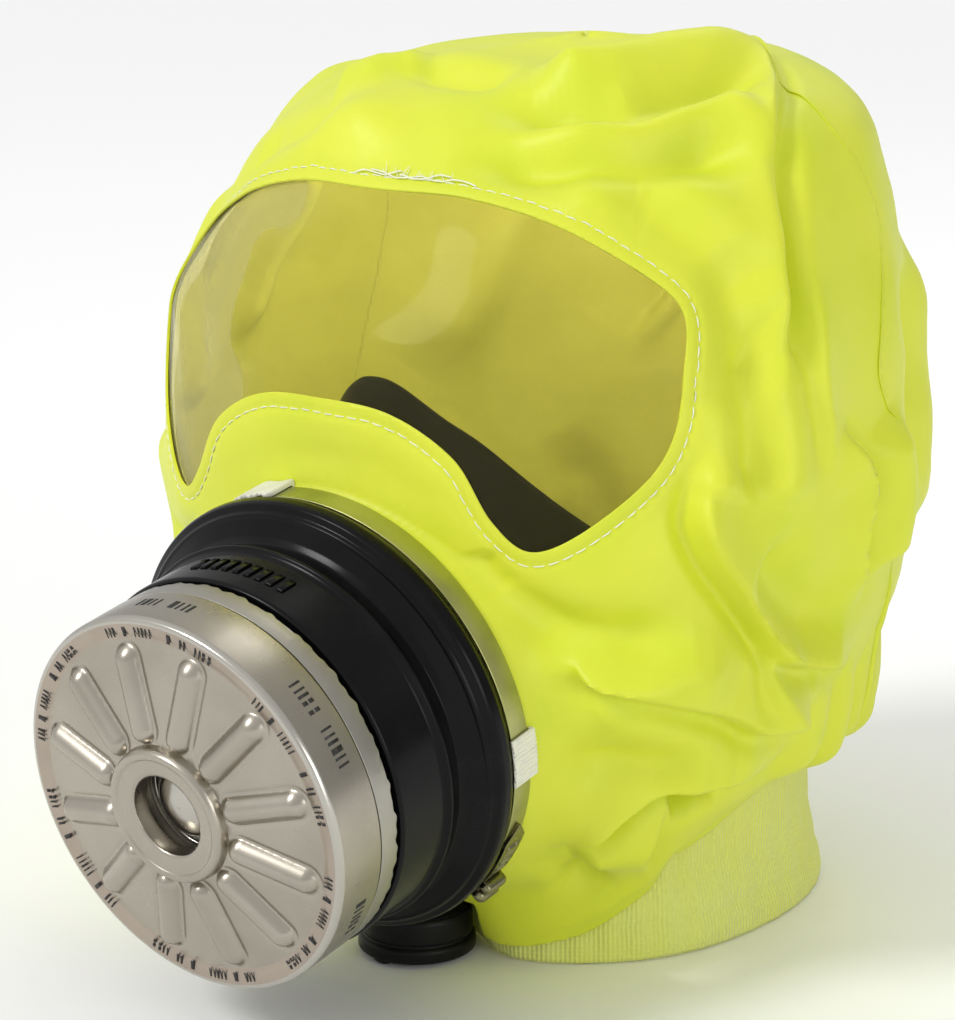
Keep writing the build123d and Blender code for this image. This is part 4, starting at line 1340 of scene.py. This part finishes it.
def rounded_route(corners, bend, steps=10):
    """Open route with round corners."""
    p = np.asarray(corners, float)
    out = [p[0] + (p[1] - p[0]) * t for t in np.linspace(0, 0.35, 8)]
    for i in range(1, len(p) - 1):
        a, b, c = p[i - 1], p[i], p[i + 1]
        ua, uc = (a - b) / np.linalg.norm(a - b), (c - b) / np.linalg.norm(c - b)
        half = math.acos(np.clip(ua @ uc, -1, 1)) / 2
        reach = bend / math.tan(half)
        middle = b + (ua + uc) / np.linalg.norm(ua + uc) * bend / math.sin(half)
        start, end = b + ua * reach - middle, b + uc * reach - middle
        turn = math.atan2(start[0] * end[1] - start[1] * end[0], start @ end)
        for t in np.linspace(0, 1, steps):
            c0, s0 = math.cos(turn * t), math.sin(turn * t)
            out.append(middle + np.array([start[0] * c0 - start[1] * s0, start[0] * s0 + start[1] * c0]))
    out += [p[-1] + (p[-2] - p[-1]) * t for t in np.linspace(0.35, 0, 8)]
    return np.array(out)


route = rounded_route(STRAP, 26.0)
way = unit(np.gradient(route, axis=0))
half = STRAP_THICK / 2
section = rounded([(-half, -STRAP_HALF), (half, -STRAP_HALF), (half, STRAP_HALF), (-half, STRAP_HALF)],
                  0.4, 3)
strap_points = [(x + v * a, y - u * a, STRAP_MIDDLE + b)
                for (x, y), (u, v) in zip(route, way) for a, b in section]
strap = put("strap_webbing", strap_points, capped_grid(len(route), len(section)), elastic, "hood", angle=50)
finish_of(strap, "elastic", "head_strap")

# ---- floor, light and camera ----

FLOOR_Z = cad_box[0][2] - 0.0004
FLOOR_REACH = 9.0
floor_mesh = bpy.data.meshes.new("floor")
corners = [(x * FLOOR_REACH, y * FLOOR_REACH, FLOOR_Z) for x, y in ((-1, -1), (1, -1), (1, 1), (-1, 1))]
floor_mesh.from_pydata(corners, [], [(0, 1, 2, 3)])
floor_mesh.materials.append(Paint("floor_paint", (0.96, 0.96, 0.96), 0.9).material)
linked("floor", floor_mesh)

world = bpy.data.worlds.new("studio")
world.use_nodes = True
sky = world.node_tree
way = sky.nodes.new("ShaderNodeTexCoord")
towards = sky.nodes.new("ShaderNodeVectorMath")
towards.operation = "DOT_PRODUCT"
towards.inputs[1].default_value = (-0.38, -0.62, 0.60)
level = sky.nodes.new("ShaderNodeMapRange")
level.inputs["From Min"].default_value = -1
level.inputs["To Min"].default_value = 0.22
level.inputs["To Max"].default_value = 0.90
sky.links.new(way.outputs["Generated"], towards.inputs[0])
sky.links.new(towards.outputs["Value"], level.inputs["Value"])
sky.links.new(level.outputs[0], sky.nodes["Background"].inputs[1])
sky.nodes["Background"].inputs[0].default_value = (1, 1, 1, 1)
scene.world = world
scene.view_settings.view_transform = "Standard"
scene.view_settings.look = "None"

AIM = np.array([0.05096, -0.11263, 0.14641])
AZIMUTH, ELEVATION, DISTANCE, LENS = 37.7, 14.0, 0.8313, 110.0


def aimed(piece, azimuth, elevation, distance):
    """Stand a lamp or the camera round the aim point, facing it. Azimuth 0 is in front of the visor."""
    a, e = math.radians(azimuth), math.radians(elevation)
    away = np.array([math.sin(a) * math.cos(e), -math.cos(a) * math.cos(e), math.sin(e)])
    piece.location = AIM + distance * away
    piece.rotation_euler = (Vector(AIM) - piece.location).to_track_quat("-Z", "Y").to_euler()
    return piece


SOFT_LAMPS = [("fill", 78, 10, 1.9, 0.9, 6.0), ("back", 190, 50, 1.7, 0.8, 3)]
for name, azimuth, elevation, distance, size, watts in SOFT_LAMPS:
    light = bpy.data.lights.new(name, "AREA")
    light.shape = "DISK"
    light.size = size
    light.energy = watts
    aimed(linked(name, light), azimuth, elevation, distance)
key = bpy.data.lights.new("key", "SUN")
key.energy = 1.25
key.angle = math.radians(16)
aimed(linked("key", key), -24, 42, 1.6)
inside = bpy.data.lights.new("inside", "POINT")
inside.energy = 0.48
inside.shadow_soft_size = 0.03
inside_lamp = linked("inside", inside)
inside_lamp.location = (0, -0.01, 0.205)
inside_lamp.visible_camera = False
inside_lamp.visible_glossy = False

camera_data = bpy.data.cameras.new("camera")
camera_data.lens = LENS
camera_data.sensor_width = 36
camera_data.sensor_fit = "AUTO"
camera_data.clip_start = 0.01
camera_data.clip_end = 50
scene.camera = aimed(linked("camera", camera_data), AZIMUTH, ELEVATION, DISTANCE)
